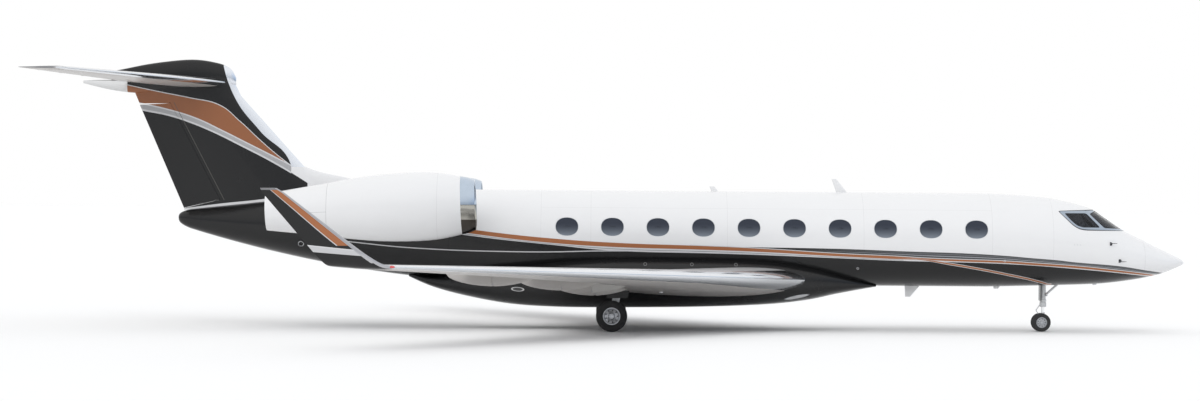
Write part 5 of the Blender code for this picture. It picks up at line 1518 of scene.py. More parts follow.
def build_engine(side):
    tag = side_name(side)
    base, axis = nacelle_axis(side)
    outer = smooth_profile(OUTER_LINE, 8)
    inner = smooth_profile(INNER_LINE, 6)
    bm = bmesh.new()
    turned(bm, base, axis, outer + inner, 96, closed=True, index=lambda k: 0 if k < len(outer) - 1 else 1)
    piece(f"nacelle_skin_{tag}", bm, "nacelle liner", f"nacelle_{tag}")
    bm = bmesh.new()
    lip = [(u - 0.0015 if u == 0.40 else u, r) for u, r in smooth_profile(LIP_LINE, 8)]
    turned(bm, base, axis, lip, 96, closed=True)
    piece(f"inlet_ring_{tag}", bm, "inlet_metal", f"inlet_lip_{tag}")

    axis, up, other = turn_frame(axis)
    bm = bmesh.new()
    core = ((1.26, 0.16), (1.26, 0.40), (1.60, 0.46), (3.60, 0.45), (4.30, 0.40), (4.90, 0.27),
            (5.60, 0.06))
    turned(bm, base, axis, smooth_profile(core, 4)[1:], 64)
    for count, offset, along, radii, section in (GUIDE_VANES, STRUTS):
        for c, s in circle(count, offset):
            out = up * c + other * s
            around = axis.cross(out)
            loft(bm, [[base + axis * (along + a) + out * radius + around * b for a, b in section]
                      for radius in radii])
    piece(f"engine_inner_{tag}", bm, "engine", f"engine_core_{tag}")
    build_mixer(tag, base, axis, up, other)
    build_fan(tag, base, axis, up, other)
    build_pylon(side)


def build_mixer(tag, base, axis, up, other):
    """Lobed mixer inside the exhaust nozzle."""
    bm = bmesh.new()
    skins = []
    for inset in (0.0, 0.008):
        rings = []
        for k in range(9):
            u = mix(4.05, 4.95, k / 8)
            depth = 0.075 * (k / 8) ** 1.5
            ring = []
            for (c, s), (lobe, _) in zip(circle(144), circle(12) * 12):
                radius = mix(0.47, 0.43, k / 8) + depth * lobe - inset
                ring.append(bm.verts.new(base + axis * u + (up * c + other * s) * radius))
            rings.append(ring)
        skins.append(rings)
    for rings in skins:
        for first, second in zip(rings, rings[1:]):
            skin(bm, first, second)
    for end in (0, -1):
        skin(bm, skins[0][end], skins[1][end])
    piece(f"exhaust_mixer_{tag}", bm, "hot_metal")


def build_fan(tag, base, axis, up, other):
    """Wide twisted blades round a cone."""
    bm = bmesh.new()
    for i in range(BLADES):
        angle = 2 * pi * i / BLADES
        rings = []
        for k in range(7):
            share = k / 6
            radius = mix(0.16, 0.613, share)
            lean = radians(mix(28, 62, share))
            chord = mix(0.15, 0.20, share)
            sweep = 0.035 * sin(pi * share) - 0.02 * share
            turn = angle + 0.10 * share * share
            out = up * cos(turn) + other * sin(turn)
            around = axis.cross(out)
            along = axis * cos(lean) + around * sin(lean)
            thick = axis * -sin(lean) + around * cos(lean)
            centre = base + axis * (1.12 - sweep) + out * radius
            ring = []
            for a, b in ((-1, 0), (-0.6, 0.7), (0, 1.0), (0.6, 0.6), (1, 0), (0.6, -0.2), (0, -0.1),
                         (-0.6, -0.3)):
                bend = 0.06 * (1 - a * a) * chord
                ring.append(centre + along * (chord / 2 * a) + thick
                            * (mix(0.013, 0.006, share) * b + bend))
            rings.append(ring)
        loft(bm, rings)
    piece(f"fan_blades_{tag}", bm, "blade", f"fan_{tag}", body=f"fan_rotor_{tag}")
    bm = bmesh.new()
    cone = ((0.715, 0.004), (0.73, 0.035), (0.80, 0.090), (0.92, 0.145), (1.02, 0.180), (1.24, 0.190),
            (1.25, 0.150))
    turned(bm, base, axis, smooth_profile(cone, 5), 64)
    piece(f"fan_cone_{tag}", bm, "cone", body=f"fan_rotor_{tag}")


def build_pylon(side):
    profile = ((0.0, 0.0), (0.01, 0.030), (0.03, 0.052), (0.06, 0.075), (0.14, 0.104), (0.25, 0.12),
               (0.42, 0.122), (0.60, 0.11), (0.80, 0.064), (1.0, 0.006))
    rings = []
    for y, front, rear in ((0.9, 21.28, 25.52), (1.7, 21.39, 25.41), (NACELLE_Y - 0.55, 21.45, 25.35)):
        points = []
        for sign, row in ((1, profile), (-1, profile[:0:-1])):
            for fraction, half in row:
                station = mix(front, rear, fraction)
                z = NACELLE_FRONT_Z - 0.03 - (station - NACELLE_FRONT) * tan(NACELLE_DROOP)
                points.append(at(station, side * y, z + sign * half))
        rings.append(points)
    bm = bmesh.new()
    loft(bm, rings)
    pylon = piece(f"pylon_skin_{side_name(side)}", bm, "nacelle",
                  f"pylon_{side_name(side)}")
    combine(pylon, "DIFFERENCE", loft,
            [fuselage_ring(station, 0.004) for station in steps(20.2, 26.8, 0.5)])
    base, axis = nacelle_axis(side)
    combine(pylon, "DIFFERENCE", turned, base, axis,
            [(u, r - 0.006) for u, r in smooth_profile(OUTER_LINE, 8)], 64)
    even_shading(pylon)


# Landing gear

TYRE_GROOVES = (-0.42, -0.14, 0.14, 0.42)
HUB_BOLTS = 9
# Nose leg: distance aft and height of both ends, radius, sides
NOSE_LEG_RODS = (
    (0, 0.862, 0, 1.44, 0.082, 48), (0, 0.865, 0, 0.93, 0.100, 48), (0, 1.16, 0, 1.20, 0.092, 48),
    (-0.02, 1.02, -0.52, 1.47, 0.032, 24),
)
BRAKE_PROFILE = ((0.015, 0.06), (0.015, 0.195), (0.10, 0.195), (0.10, 0.12), (0.14, 0.11), (0.14, 0.06))
# Share of half the width, share of the rim radius, metres added to the radius
HUB_PROFILE = (
    (-0.74, 1, -0.030), (-0.74, 1, 0.008), (-0.66, 1, 0.010), (-0.60, 1, -0.004),
    (0.60, 1, -0.004), (0.66, 1, 0.010),
    (0.74, 1, 0.008), (0.74, 0.93, 0), (0.62, 0.90, 0), (0.30, 0.80, 0), (0.22, 0.62, 0), (0.34, 0.42, 0),
    (0.60, 0.36, 0), (0.72, 0.30, 0), (0.72, 0.10, 0), (-0.30, 0.10, 0), (-0.30, 1, -0.030),
)


def tyre_profile(radius, width, rim):
    """Rounded tyre with a low tread and grooves round it, as (across, radius)."""
    half = width / 2
    depth = 0.010 * radius / 0.445
    groove = 0.006 * radius / 0.445
    outline = [(-half * 0.72, rim)]
    for i in range(25):
        angle = pi * i / 24
        c = cos(angle)
        height = sin(angle) ** 0.55 if 0 < i < 24 else 0.0
        outline.append((-half * copysign(abs(c) ** 0.75, c),
                        mix(rim + (radius - rim) * 0.42, radius, height)))
    outline.append((half * 0.72, rim))
    result = []
    for a, b in zip(outline, outline[1:]):
        result.append(a)
        for share in TYRE_GROOVES:
            middle = share * half
            if a[0] <= middle < b[0]:
                level = mix(a[1], b[1], (middle - a[0]) / (b[0] - a[0]))
                result.extend([(middle - groove, level), (middle - groove * 0.7, level - depth),
                               (middle + groove * 0.7, level - depth), (middle + groove, level)])
    return sorted_profile(result + [outline[-1]])


def sorted_profile(points):
    """Drop points that run backwards across the tread."""
    result = points[:2]
    for point in points[2:-1]:
        forward = point[0] - result[-1][0]
        drop = result[-1][1] - point[1]
        if forward > 1e-5 or drop > 1e-4 and forward > -1e-3:
            result.append(point)
    return result + [points[-1]]


def build_wheel_pair(prefix, body, centre, spread, radius, width, rim, side=1):
    """Two tyres with their hubs, bolts and axle."""
    hubs, bolts = bmesh.new(), bmesh.new()
    for place in (1, -1):
        middle = centre + vec(0, place * spread, 0)
        bm = bmesh.new()
        turned(bm, middle, (0, 1, 0), tyre_profile(radius, width, rim), 96, closed=True)
        if prefix == "nose":
            node = f"nose_tyre_{side_name(place)}"
        else:
            where = "outer" if place * side > 0 else "inner"
            node = f"main_tyre_{side_name(side)}_{where}"
        piece(f"{node}_rubber", bm, "tyre", node, body=body)
        half = width / 2
        outward = vec(0, place, 0)
        profile = [(half * across, rim * share + more) for across, share, more in HUB_PROFILE]
        turned(hubs, middle, outward, profile, 72, closed=True)
        for c, s in circle(HUB_BOLTS):
            out = vec(c, 0, s)
            spot = middle + out * rim * 0.70 + outward * half * 0.26
            rod(bolts, spot - outward * 0.004, spot + outward * 0.010, rim * 0.085, 16)
            spot = middle + out * rim * 0.36 + outward * half * 0.58
            rod(bolts, spot, spot + outward * half * 0.08, rim * 0.028, 8)
    piece(f"{prefix}_hub_set", hubs, "hub", f"{body}_hubs", body=body)
    piece(f"{prefix}_hub_bolts", bolts, "dark_metal", body=body)
    bm = bmesh.new()
    pin(bm, centre, spread + width * 0.42, 0.028 if prefix == "nose" else 0.045, 32)
    piece(f"{prefix}_axle", bm, "alloy", body=body)


def link_plate(bm, start, end, start_half, end_half, thick):
    """Forked torque link between two pivots, wide at one end."""
    across = vec(0, 1, 0)
    run = (end - start).normalized()
    out = run.cross(across).normalized() * thick / 2
    for sign in (1, -1):
        rings = []
        for point, half, width in ((start, start_half, 0.030), (end, end_half, 0.022)):
            centre = point + across * sign * half
            rings.append([centre - across * width / 2 - out, centre + across * width / 2 - out,
                          centre + across * width / 2 + out, centre - across * width / 2 + out])
        loft(bm, rings)
    middle = start.lerp(end, 0.55)
    half = mix(start_half, end_half, 0.55)
    pin(bm, middle, half, thick * 0.45, 12)


def torque_links(bm, upper, knee, lower, wide, narrow, thick, pins, radius):
    """Two plates that meet at a knee, with a pin at each pivot."""
    link_plate(bm, upper, knee, wide, narrow, thick)
    link_plate(bm, lower, knee, wide, narrow, thick)
    for pivot, half in zip((upper, lower, knee), pins):
        pin(bm, pivot, half, radius, 16)


def build_main_gear(side):
    tag = side_name(side)
    y = side * MAIN_GEAR_Y
    axle = at(MAIN_GEAR_STATION, y, MAIN_TYRE_RADIUS)
    surface = wing_surface(side)
    inside = surface.middle(MAIN_LEG_STATION, MAIN_GEAR_Y)
    top = at(MAIN_LEG_STATION - 0.05, y, inside)
    foot = at(MAIN_LEG_STATION + 0.12, y, MAIN_TYRE_RADIUS + 0.02)
    bm = bmesh.new()
    rod(bm, top, top.lerp(foot, 0.66), 0.100, 48)
    for share in (0.40, 0.63):
        rod(bm, top.lerp(foot, share), top.lerp(foot, share + 0.035), 0.112, 48)
    rod(bm, at(MAIN_LEG_STATION, y, 0.95), at(MAIN_LEG_STATION - 0.1, y - side * 0.38, inside), 0.036, 24)
    pin(bm, axle, 0.125, 0.082, 40)
    rod(bm, top.lerp(foot, 0.90), foot, 0.085, 40)
    behind = vec(-0.13, 0, 0)
    torque_links(bm, top.lerp(foot, 0.60) + behind * 0.7, top.lerp(foot, 0.78) + behind * 2.1,
                 top.lerp(foot, 0.95) + behind * 0.7, 0.055, 0.022, 0.030, (0.075, 0.075, 0.045), 0.016)
    piece(f"main_strut_{tag}", bm, "gear", f"main_leg_{tag}")
    bm = bmesh.new()
    rod(bm, top.lerp(foot, 0.64), top.lerp(foot, 0.92), 0.068, 48)
    piece(f"main_piston_{tag}", bm, "chrome")
    bm = bmesh.new()
    points = [top.lerp(foot, share) + vec(0.105, side * 0.02, 0) for share in (0.35, 0.5, 0.62)]
    for a, b in zip(points, points[1:]):
        rod(bm, a, b, 0.008, 10)
    for share in (0.37, 0.48, 0.59):
        spot = top.lerp(foot, share) + vec(0.100, side * 0.02, 0)
        box(bm, spot + vec(-0.01, -0.018, -0.012), spot + vec(0.016, 0.018, 0.012))
    piece(f"main_brake_pipe_{tag}", bm, "alloy")
    bm = bmesh.new()
    for place in (1, -1):
        middle = axle + vec(0, place * MAIN_WHEEL_Y, 0)
        inward = vec(0, -place, 0)
        turned(bm, middle, inward, BRAKE_PROFILE, 48, closed=True)
        for c, s in circle(6, 0.5):
            out = vec(c, 0, s)
            rod(bm, middle + inward * 0.10 + out * 0.155, middle + inward * 0.13 + out * 0.155, 0.028, 20)
    piece(f"main_brakes_{tag}", bm, "brake")
    bm = bmesh.new()
    outline = ((-0.30, 0.95), (0.28, 0.95), (0.34, 1.19), (-0.36, 1.19))
    outline = rounded(outline, 0.04)
    loft(bm, [[at(MAIN_LEG_STATION + s, y + side * w, z) for s, z in outline] for w in (0.112, 0.130)])
    piece(f"main_leg_door_{tag}", bm, "charcoal")
    build_wheel_pair(f"main_{tag}", f"main_wheels_{tag}", axle, MAIN_WHEEL_Y, MAIN_TYRE_RADIUS,
                     MAIN_TYRE_WIDTH, 0.24, side)


def build_nose_gear():
    station = NOSE_GEAR_STATION
    axle = at(station + NOSE_TRAIL, 0, NOSE_TYRE_RADIUS)
    bm = bmesh.new()
    for foot, foot_z, head, head_z, radius, count in NOSE_LEG_RODS:
        rod(bm, at(station + foot, 0, foot_z), at(station + head, 0, head_z), radius, count)
    for y in (0.10, -0.10):
        rod(bm, at(station - 0.05, y, 0.98), at(station + 0.05, y, 0.98), 0.024, 20)
        rod(bm, at(station, y * 0.6, 0.98), at(station, y * 1.25, 0.98), 0.016, 16)
    piece("nose_strut_cylinder", bm, "gear", "nose_gear_leg")
    bm = bmesh.new()
    outline = rounded(((-0.20, 0.90), (0.20, 0.90), (0.20, 1.46), (-0.20, 1.46)), 0.04)
    loft(bm, [[at(station + s, y, z) for y, z in outline] for s in (0.082, 0.100)])
    piece("nose_strut_door", bm, "charcoal")
    bm = bmesh.new()
    for y in (0.07, -0.07):
        turned(bm, at(station - 0.11, y, 1.08), (1, 0, 0),
               ((-0.02, 0.045), (-0.03, 0.05), (0.0, 0.05), (0.02, 0.02)), 32)
    piece("taxi_lamp_shells", bm, "alloy")
    bm = bmesh.new()
    rod(bm, at(station, 0, 0.72), at(station, 0, 0.858), 0.100, 48)
    pin(bm, axle, 0.0725, 0.063, 40)
    for rear, half, radius, low, high in ((0.075, 0.05, 0.012, 0.30, 0.44),
                                          (0.03, 0.045, 0.010, 0.44, 0.56)):
        outline = rounded(((-0.05, -half), (rear, -half), (rear, half), (-0.05, half)), radius, 3)
        loft(bm, [[at(station + s, y, z) for s, y in outline] for z in (low, high)])
    torque_links(bm, at(station + 0.10, 0, 0.76), at(station + 0.20, 0, 0.62), at(station + 0.08, 0, 0.42),
                 0.035, 0.018, 0.020, (0.05, 0.05, 0.03), 0.012)
    piece("nose_fork", bm, "gear", "nose_gear_fork", body="nose_strut")
    bm = bmesh.new()
    rod(bm, at(station, 0, 0.54), at(station, 0, 0.73), 0.048, 40)
    piece("nose_piston", bm, "chrome", body="nose_strut")
    build_wheel_pair("nose", "nose_wheels", axle, NOSE_WHEEL_Y, NOSE_TYRE_RADIUS, NOSE_TYRE_WIDTH, 0.15)


# Small fittings

# Antennas: front and rear of the root, front and rear of the tip, heights of root and tip
ANTENNAS = (
    (9.84, 10.16, 10.16, 10.30, 4.010, 4.405), (13.60, 13.80, 13.72, 13.86, 4.012, 4.16),
    (7.70, 8.14, 7.98, 8.12, 1.310, 0.985), (5.35, 5.55, 5.42, 5.54, 1.315, 1.24),
)
# Round fittings on the sides: station, height, radius
DRAINS = ((15.76, 1.963, 0.028), (14.40, 1.974, 0.028), (13.13, 1.983, 0.028), (9.60, 1.823, 0.038),
          (5.38, 2.071, 0.034))
AILERON_WICKS = (10.6, 11.3, 12.0, 12.7, 13.4, 14.1)
ELEVATOR_WICKS = (2.2, 3.2, 4.2)


def blade(bm, root_front, root_rear, tip_front, tip_rear, root_z, tip_z, thick=0.018):
    """Swept blade antenna with a thin lens section."""
    rings = []
    for front, rear, z, half in ((root_front, root_rear, root_z, thick),
                                 (tip_front, tip_rear, tip_z, thick * 0.45)):
        rings.append([at(mix(front, rear, (1 - c) / 2), half * s, z) for c, s in circle(16)])
    loft(bm, rings)


def build_fittings():
    bm = bmesh.new()
    for row in ANTENNAS:
        blade(bm, *row)
    piece("blade_antennas", bm, "white")
    bm = bmesh.new()
    for side in (1, -1):
        for station, z in ((2.31, 2.581), (2.03, 2.091)):
            root, out = on_skin(station, z, side)
            elbow = root + out * 0.07 + vec(0.02, 0, 0)
            rod(bm, root - out * 0.01, elbow, 0.022, 16)
            rod(bm, elbow - vec(0.03, 0, 0), elbow + vec(0.17, 0, 0), 0.012, 16, 0.006)
            turned(bm, root - out * 0.004, out, ((0.0, 0.055), (0.006, 0.055), (0.008, 0.045)), 28)
    piece("air_data_probes", bm, "dark_metal")
    bm = bmesh.new()
    for side in (1, -1):
        for station, z, radius in DRAINS:
            root, out = on_skin(station, z, side)
            turned(bm, root - out * 0.006, out,
                   ((0.0, radius), (0.008, radius), (0.010, radius * 0.8), (0.004, radius * 0.6)), 28)
        root, out = on_skin(25.70, 2.42, side)
        turned(bm, root - out * 0.05, out, ((0.0, 0.085), (0.075, 0.085), (0.078, 0.072), (0.02, 0.062)),
               36)
        for k in range(3):
            spot, out = on_skin(3.2 + 0.09 * k, 2.55, side)
            turned(bm, spot - out * 0.004, out, ((0.0, 0.016), (0.006, 0.016), (0.004, 0.009)), 20)
    piece("probes_and_drains", bm, "alloy")
    bm = bmesh.new()
    for y in (0.0, 2.60, -2.60):
        if y:
            surface = wing_surface(copysign(1, y))
            station, skin_z = 15.30, surface.middle(15.30, 2.60) - surface.half(15.30, 2.60)
        else:
            station, skin_z = 2.60, nose_section(2.60)[1]
        rod(bm, at(station, y, skin_z - 0.03), at(station, y, skin_z + 0.05), 0.06, 32)
    piece("jack_pads", bm, "alloy")
    for side, place in ((1, "port"), (-1, "starboard")):
        static_wicks(wing_surface(side), side, AILERON_WICKS, f"aileron_{place}")
        static_wicks(stabilizer_surface(side), side, ELEVATOR_WICKS, f"elevator_{place}")


def static_wicks(surface, side, spans, body):
    """Thin rods that trail from the rear edge of a control surface."""
    bm = bmesh.new()
    for span in spans:
        tail = surface.trailing(span)
        start = at(tail - 0.02, side * span, surface.middle(tail, span))
        rod(bm, start, start + vec(-0.14, 0, 0), 0.003, 8, 0.0015)
    piece(f"{body}_wicks", bm, "dark_metal", body=body)


def build_lights():
    """Wing-tip lamps and a tail lamp."""
    bm, red = bmesh.new(), bmesh.new()
    for side in (1, -1):
        lead = at(22.10, side * 15.13, 2.072)
        turned(red, lead + vec(0.075, 0, 0.002), vec(-0.9, side * 0.35, 0),
               ((0.0, 0.008), (0.02, 0.022), (0.07, 0.030), (0.12, 0.024), (0.15, 0.006)), 24)
    turned(bm, at(29.33, 0, 3.14), (-1, 0, 0), ((0.0, 0.04), (0.012, 0.035), (0.018, 0.012)), 28)
    piece("wing_tip_lamps", red, "red_lens")
    piece("tail_lamp", bm, "clear_lens")


# Interior

# Pilot's cushions: name, place ahead of and above the seat's foot, size, tilt in degrees
PILOT_CUSHIONS = (
    ("cushion", 0.01, 0.47, (0.46, 0.46, 0.12), -4),
    ("back", -0.22, 0.80, (0.60, 0.44, 0.11), -78),
    ("headrest", -0.27, 1.13, (0.16, 0.26, 0.09), -82),
)
SEAT_BOXES = [((-0.16, -0.15, 0.001), (0.16, 0.15, 0.05)), ((-0.20, -0.20, 0.36), (0.20, 0.20, 0.41))]
for arm in (-0.225, 0.225):
    SEAT_BOXES.append(((-0.16, arm - 0.02, 0.60), (0.14, arm + 0.02, 0.64)))
    SEAT_BOXES.append(((-0.16, arm - 0.012, 0.40), (-0.12, arm + 0.012, 0.62)))


def padded_form(name, centre, size, tilt, look):
    """Closed cushion: a rounded, swollen form whose sides pull in between its corners."""
    bm = bmesh.new()
    bmesh.ops.create_cube(bm, size=2.0)
    bmesh.ops.subdivide_edges(bm, edges=bm.edges[:], cuts=20, use_grid_fill=True)
    for vert in bm.verts:
        x, y, z = vert.co
        length = (abs(x) ** 5 + abs(y) ** 5 + abs(z) ** 5) ** (1 / 5)
        p = vec(x, y, z) / length
        pull = 1 - 0.05 * (1 - abs(p.x)) - 0.03 * (1 - abs(p.y))
        swell = 1 + 0.18 * (1 - p.x * p.x) * (1 - p.y * p.y)
        groove = 1 - 0.10 * exp(-((abs(p.y) - 0.62) / 0.035) ** 2)
        vert.co = vec(p.x * size[0] / 2 * pull, p.y * size[1] / 2, p.z * size[2] / 2 * swell * groove)
        vert.co.rotate(Quaternion((0, 1, 0), tilt))
        vert.co += centre
    obj = piece(name, bm, look, sharp=60)
    return obj


def build_pilot_seat(side):
    tag = side_name(side)
    base = at(3.45, side * 0.50, FLOOR_Z)
    for name, forward, up, size, tilt in PILOT_CUSHIONS:
        middle = base + vec(forward, 0, up)
        cushion = padded_form(f"pilot_{name}_{tag}", middle, size, radians(tilt), "leather")
        if name == "cushion":
            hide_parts(f"pilot_seat_{tag}")
    bm = bmesh.new()
    rod(bm, base + vec(0, 0, 0.04), base + vec(0, 0, 0.38), 0.07, 32)
    for low, high in SEAT_BOXES:
        box(bm, base + vec(*low), base + vec(*high))
    piece(f"pilot_seat_frame_{tag}", bm, "dark")


def build_cabin_chairs():
    """Club chairs on both sides of the aisle."""
    for side in (1, -1):
        for k in range(4):
            for j, facing in enumerate((-1, 1)):
                base = at(7.2 + 2.62 * k + j * 1.35, side * 0.78, FLOOR_Z)
                name = f"chair_{side_name(side)}_{k}_{j}"
                padded_form(f"{name}_cushion", base + vec(0, 0, 0.40), (0.52, 0.50, 0.16), 0.0, "cream")
                padded_form(f"{name}_back", base + vec(facing * 0.28, 0, 0.76), (0.68, 0.50, 0.15),
                            radians(90 - facing * 10), "cream")
                bm = bmesh.new()
                for arm in (-0.27, 0.27):
                    outline = rounded(((-0.26, 0.10), (0.26, 0.10), (0.26, 0.56), (-0.26, 0.60)), 0.05)
                    loft(bm, [[base + vec(s * -facing, arm + w, z) for s, z in outline]
                              for w in (-0.035, 0.035)])
                box(bm, base + vec(-0.22, -0.22, 0.002), base + vec(0.22, 0.22, 0.30))
                piece(f"{name}_frame", bm, "lining")


def build_cockpit():
    """Displays and centre pedestal in front of the crew, and the looks of the CAD pieces inside."""
    bm = bmesh.new()
    for y in (-0.56, -0.20, 0.20, 0.56):
        left, right = y + 0.15, y - 0.15
        outline = rounded(((right, 2.60), (left, 2.60), (left, 2.84), (right, 2.84)), 0.015, 3)
        loft(bm, [[at(2.745 + (z - 2.60) * 0.16 + lean, across, z) for across, z in outline]
                  for lean in (0.0, 0.012)])
    piece("cockpit_displays", bm, "display")
    bm = bmesh.new()
    box(bm, at(3.20, -0.16, FLOOR_Z + 0.002), at(2.74, 0.16, 2.52))
    piece("cockpit_pedestal", bm, "dark")
    dress("instrument_panel", "dark")
    dress("cockpit_bulkhead", "lining")
    dress("cabin_floor", "carpet")


def dress(node, look):
    """Give a CAD node that keeps its shape a finished material."""
    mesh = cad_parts[node].data
    mesh.materials.clear()
    mesh.materials.append(LOOKS[look])


# Stage

SKY_ROWS = ((0.0, (0.46, 0.49, 0.53)), (0.10, (0.56, 0.59, 0.63)), (0.30, (0.86, 0.87, 0.89)),
            (0.60, (1.0, 1.0, 1.0)))
SKY_AHEAD_ROWS = ((0.0, (0.10, 0.11, 0.13)), (0.06, (0.26, 0.34, 0.46)), (0.30, (0.52, 0.65, 0.84)),
                  (0.60, (0.90, 0.95, 1.0)))
FLOOR_REACH = 1200.0
CAMERA_DISTANCE = 90.0
SENSOR_WIDTH = 36.0
SEEN_WIDTH = 35.04


def sky_ramp(tree, height, rows):
    """Colour of the sky by height."""
    ramp = tree.nodes.new("ShaderNodeValToRGB")
    tree.links.new(height, ramp.inputs[0])
    elements = ramp.color_ramp.elements
    for i, (position, colour) in enumerate(rows):
        element = elements[i] if i < 2 else elements.new(position)
        element.position = position
        element.color = (*colour, 1.0)
    return ramp.outputs["Color"]


def sky_blend(tree, value, start, end, first):
    """Leave one colour for the node's second colour while a value passes from start to end."""
    share = tree.nodes.new("ShaderNodeMapRange")
    share.inputs["From Min"].default_value = start
    share.inputs["From Max"].default_value = end
    tree.links.new(value, share.inputs["Value"])
    blend = tree.nodes.new("ShaderNodeMix")
    blend.data_type = "RGBA"
    tree.links.new(share.outputs["Result"], blend.inputs["Factor"])
    tree.links.new(first, blend.inputs["A"])
    return blend


def build_sky():
    """Soft light: white behind the aircraft, a greyer horizon on the camera's side and blue ahead."""
    world = bpy.data.worlds.new("studio")
    bpy.context.scene.world = world
    world.use_nodes = True
    tree = world.node_tree
    split = tree.nodes.new("ShaderNodeSeparateXYZ")
    tree.links.new(tree.nodes.new("ShaderNodeTexCoord").outputs["Generated"], split.inputs[0])
    x, y, z = split.outputs
    front = sky_blend(tree, x, 0.55, 0.90, sky_ramp(tree, z, SKY_ROWS))
    tree.links.new(sky_ramp(tree, z, SKY_AHEAD_ROWS), front.inputs["B"])
    blend = sky_blend(tree, y, 0.1, 0.7, front.outputs["Result"])
    blend.inputs["B"].default_value = (1.0, 1.0, 1.0, 1.0)
    tree.links.new(blend.outputs["Result"], tree.nodes["Background"].inputs["Color"])


def build_stage():
    """Pale floor, sky, soft sun and the camera of the photograph."""
    scene = bpy.context.scene
    scene.view_settings.view_transform = "Standard"
    scene.view_settings.look = "None"
    build_sky()
    mesh = bpy.data.meshes.new("floor")
    corners = [(x * FLOOR_REACH, y * FLOOR_REACH, 0) for x, y in ((-1, -1), (1, -1), (1, 1), (-1, 1))]
    mesh.from_pydata(corners, [], [(0, 1, 2, 3)])
    material = bpy.data.materials.new("floor")
    material.use_nodes = True
    shader = material.node_tree.nodes["Principled BSDF"]
    shader.inputs["Base Color"].default_value = (0.90, 0.90, 0.90, 1.0)
    shader.inputs["Roughness"].default_value = 0.9
    mesh.materials.append(material)
    place("floor", mesh)

    lamp = bpy.data.lights.new("soft_sun", "SUN")
    lamp.energy = 0.75
    lamp.angle = radians(45)
    sun = place("soft_sun", lamp)
    sun.rotation_euler = vec(0.15, 0.72, -0.68).to_track_quat("-Z", "Y").to_euler()
    sun.visible_glossy = False

    camera = bpy.data.cameras.new("camera")
    camera.sensor_width = SENSOR_WIDTH
    camera.lens = SENSOR_WIDTH * CAMERA_DISTANCE / SEEN_WIDTH
    camera.clip_end = 3000.0
    scene.camera = place("camera", camera)
    scene.camera.location = (-0.518, -CAMERA_DISTANCE, 3.726)
    scene.camera.rotation_mode = "QUATERNION"
    level = Quaternion((1, 0, 0), pi / 2)
    scene.camera.rotation_quaternion = level @ Quaternion((0, 0, 1), radians(0.43))


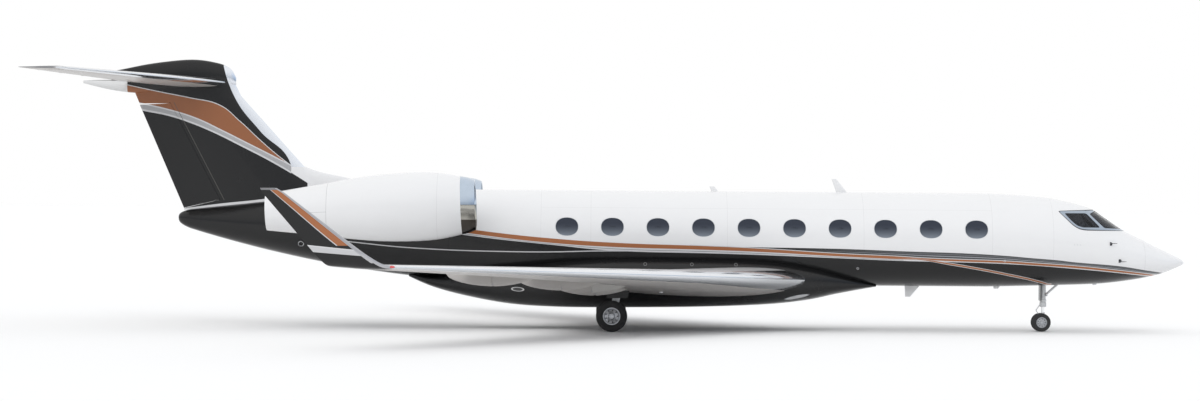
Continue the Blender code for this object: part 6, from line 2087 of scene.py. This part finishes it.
def main():
    LOOKS.update(
        body=body_paint(),
        fin=fin_paint(),
        charcoal=plain_paint("charcoal_paint", CHARCOAL, 0.26, 0.08, 0.06),
        fairing=fairing_paint(),
        pale_fairing=plain_paint("pale_fairing_paint", (0.50, 0.49, 0.47), 0.30, 0.1, 0.04),
        white=plain_paint("white_paint", WHITE),
        nacelle=nacelle_paint(),
        winglet=winglet_paint(),
        wing_top=plain_paint("wing_top_paint", WING_GREY, 0.32, 0.3, 0.03),
        tail_top=plain_paint("tail_top_paint", TAIL_GREY, 0.30, 0.3, 0.03),
        flap=surface_paint("flap_paint", WING_GREY, UNDER_GREY),
        elevator=surface_paint("elevator_paint", TAIL_GREY, UNDER_GREY),
        wing_under=plain_paint("wing_under_paint", UNDER_GREY, 0.34, 0.1, 0.05),
        cove=plain_paint("cove_primer", (0.30, 0.31, 0.30), 0.5, 0.0, 0.05),
        polished=metal("polished_skin", (0.78, 0.80, 0.83), 0.16, 0.00012, (1, 6, 1), 14.0, 0.02),
        edge_metal=metal("winglet_edge_metal", (0.50, 0.50, 0.52), 0.34, 0.00008, (1, 6, 1), 14.0, 0.04),
        chrome=metal("chrome", (0.90, 0.91, 0.92), 0.06, variation=0.01),
        inlet_metal=inlet_metal(),
        frame=metal("windshield_metal", (0.40, 0.46, 0.54), 0.30, 0.0002, (1, 1, 4), 30.0, 0.04),
        rim=metal("window_rim_metal", (0.55, 0.58, 0.62), 0.30, variation=0.03),
        alloy=metal("satin_alloy", (0.66, 0.67, 0.69), 0.32, 0.0003, (1, 1, 8), 60.0),
        dark_metal=metal("dark_metal", (0.10, 0.10, 0.11), 0.45, 0.0002, (1, 1, 1), 60.0),
        hub=metal("forged_hub", (0.58, 0.59, 0.61), 0.36, 0.0002, (1, 1, 1), 80.0),
        engine=metal("engine_metal", (0.36, 0.36, 0.38), 0.38, 0.0004, (1, 4, 4), 20.0),
        hot_metal=metal("heated_metal", (0.38, 0.31, 0.26), 0.40, 0.0004, (1, 4, 4), 20.0, 0.25),
        blade=metal("blade_titanium", (0.42, 0.42, 0.45), 0.26, 0.0002, (4, 1, 1), 40.0),
        cone=metal("cone_metal", (0.22, 0.22, 0.24), 0.32),
        liner=metal("duct_liner", (0.48, 0.46, 0.44), 0.42, 0.0006, (1, 1, 1), 200.0),
        brake=metal("brake_carbon", (0.09, 0.09, 0.095), 0.6, 0.0005, (1, 1, 1), 60.0),
        gear=plain_paint("gear_enamel", (0.62, 0.63, 0.64), 0.30, 0.4, 0.05),
        tyre=rubber(),
        window=glazing_with_painted_reflection("window_glass", (0.027, 0.034, 0.052), (0.25, 0.285, 0.33), 2.68, 3.10, 0.05),
        cockpit_glass=glazing_with_painted_reflection("cockpit_glass", (0.16, 0.165, 0.18), (0.14, 0.15, 0.17), 2.98, 3.56, 0.90,
                              1.18),
        clear_lens=lamp_lens("clear_lens", (0.85, 0.86, 0.88)),
        red_lens=lamp_lens("red_lens", (0.60, 0.05, 0.05), 0.3),
        seal=plain_paint("door_seal", (0.05, 0.05, 0.055), 0.6, 0.0, 0.1),
        lining=plain_paint("cabin_lining", (0.62, 0.58, 0.52), 0.55, 0.0, 0.04),
        carpet=cloth("carpet", (0.24, 0.20, 0.17), 420.0, 0.002),
        leather=leather(),
        cream=cloth("cream_leather", (0.55, 0.48, 0.38), 300.0, 0.0006, 0.5),
        dark=plain_paint("panel_black", (0.03, 0.03, 0.033), 0.5, 0.0, 0.1),
        display=lamp_lens("display_glass", (0.02, 0.06, 0.10), 0.6),
    )
    build_stage()
    build_fuselage()
    build_windows()
    build_windshield()
    build_door()
    build_door_hinge()
    build_belly_fairing()
    build_fin()
    for side in (1, -1):
        build_wing(side)
        build_stabilizer(side)
        build_engine(side)
        build_main_gear(side)
        build_pilot_seat(side)
        tag = side_name(side)
        dress(f"aileron_{tag}", "flap")
        dress(f"spoilers_{tag}", "wing_top")
        dress(f"elevator_{tag}", "elevator")
    dress("rudder", "fin")
    build_nose_gear()
    build_cockpit()
    build_cabin_chairs()
    build_fittings()
    build_lights()


main()
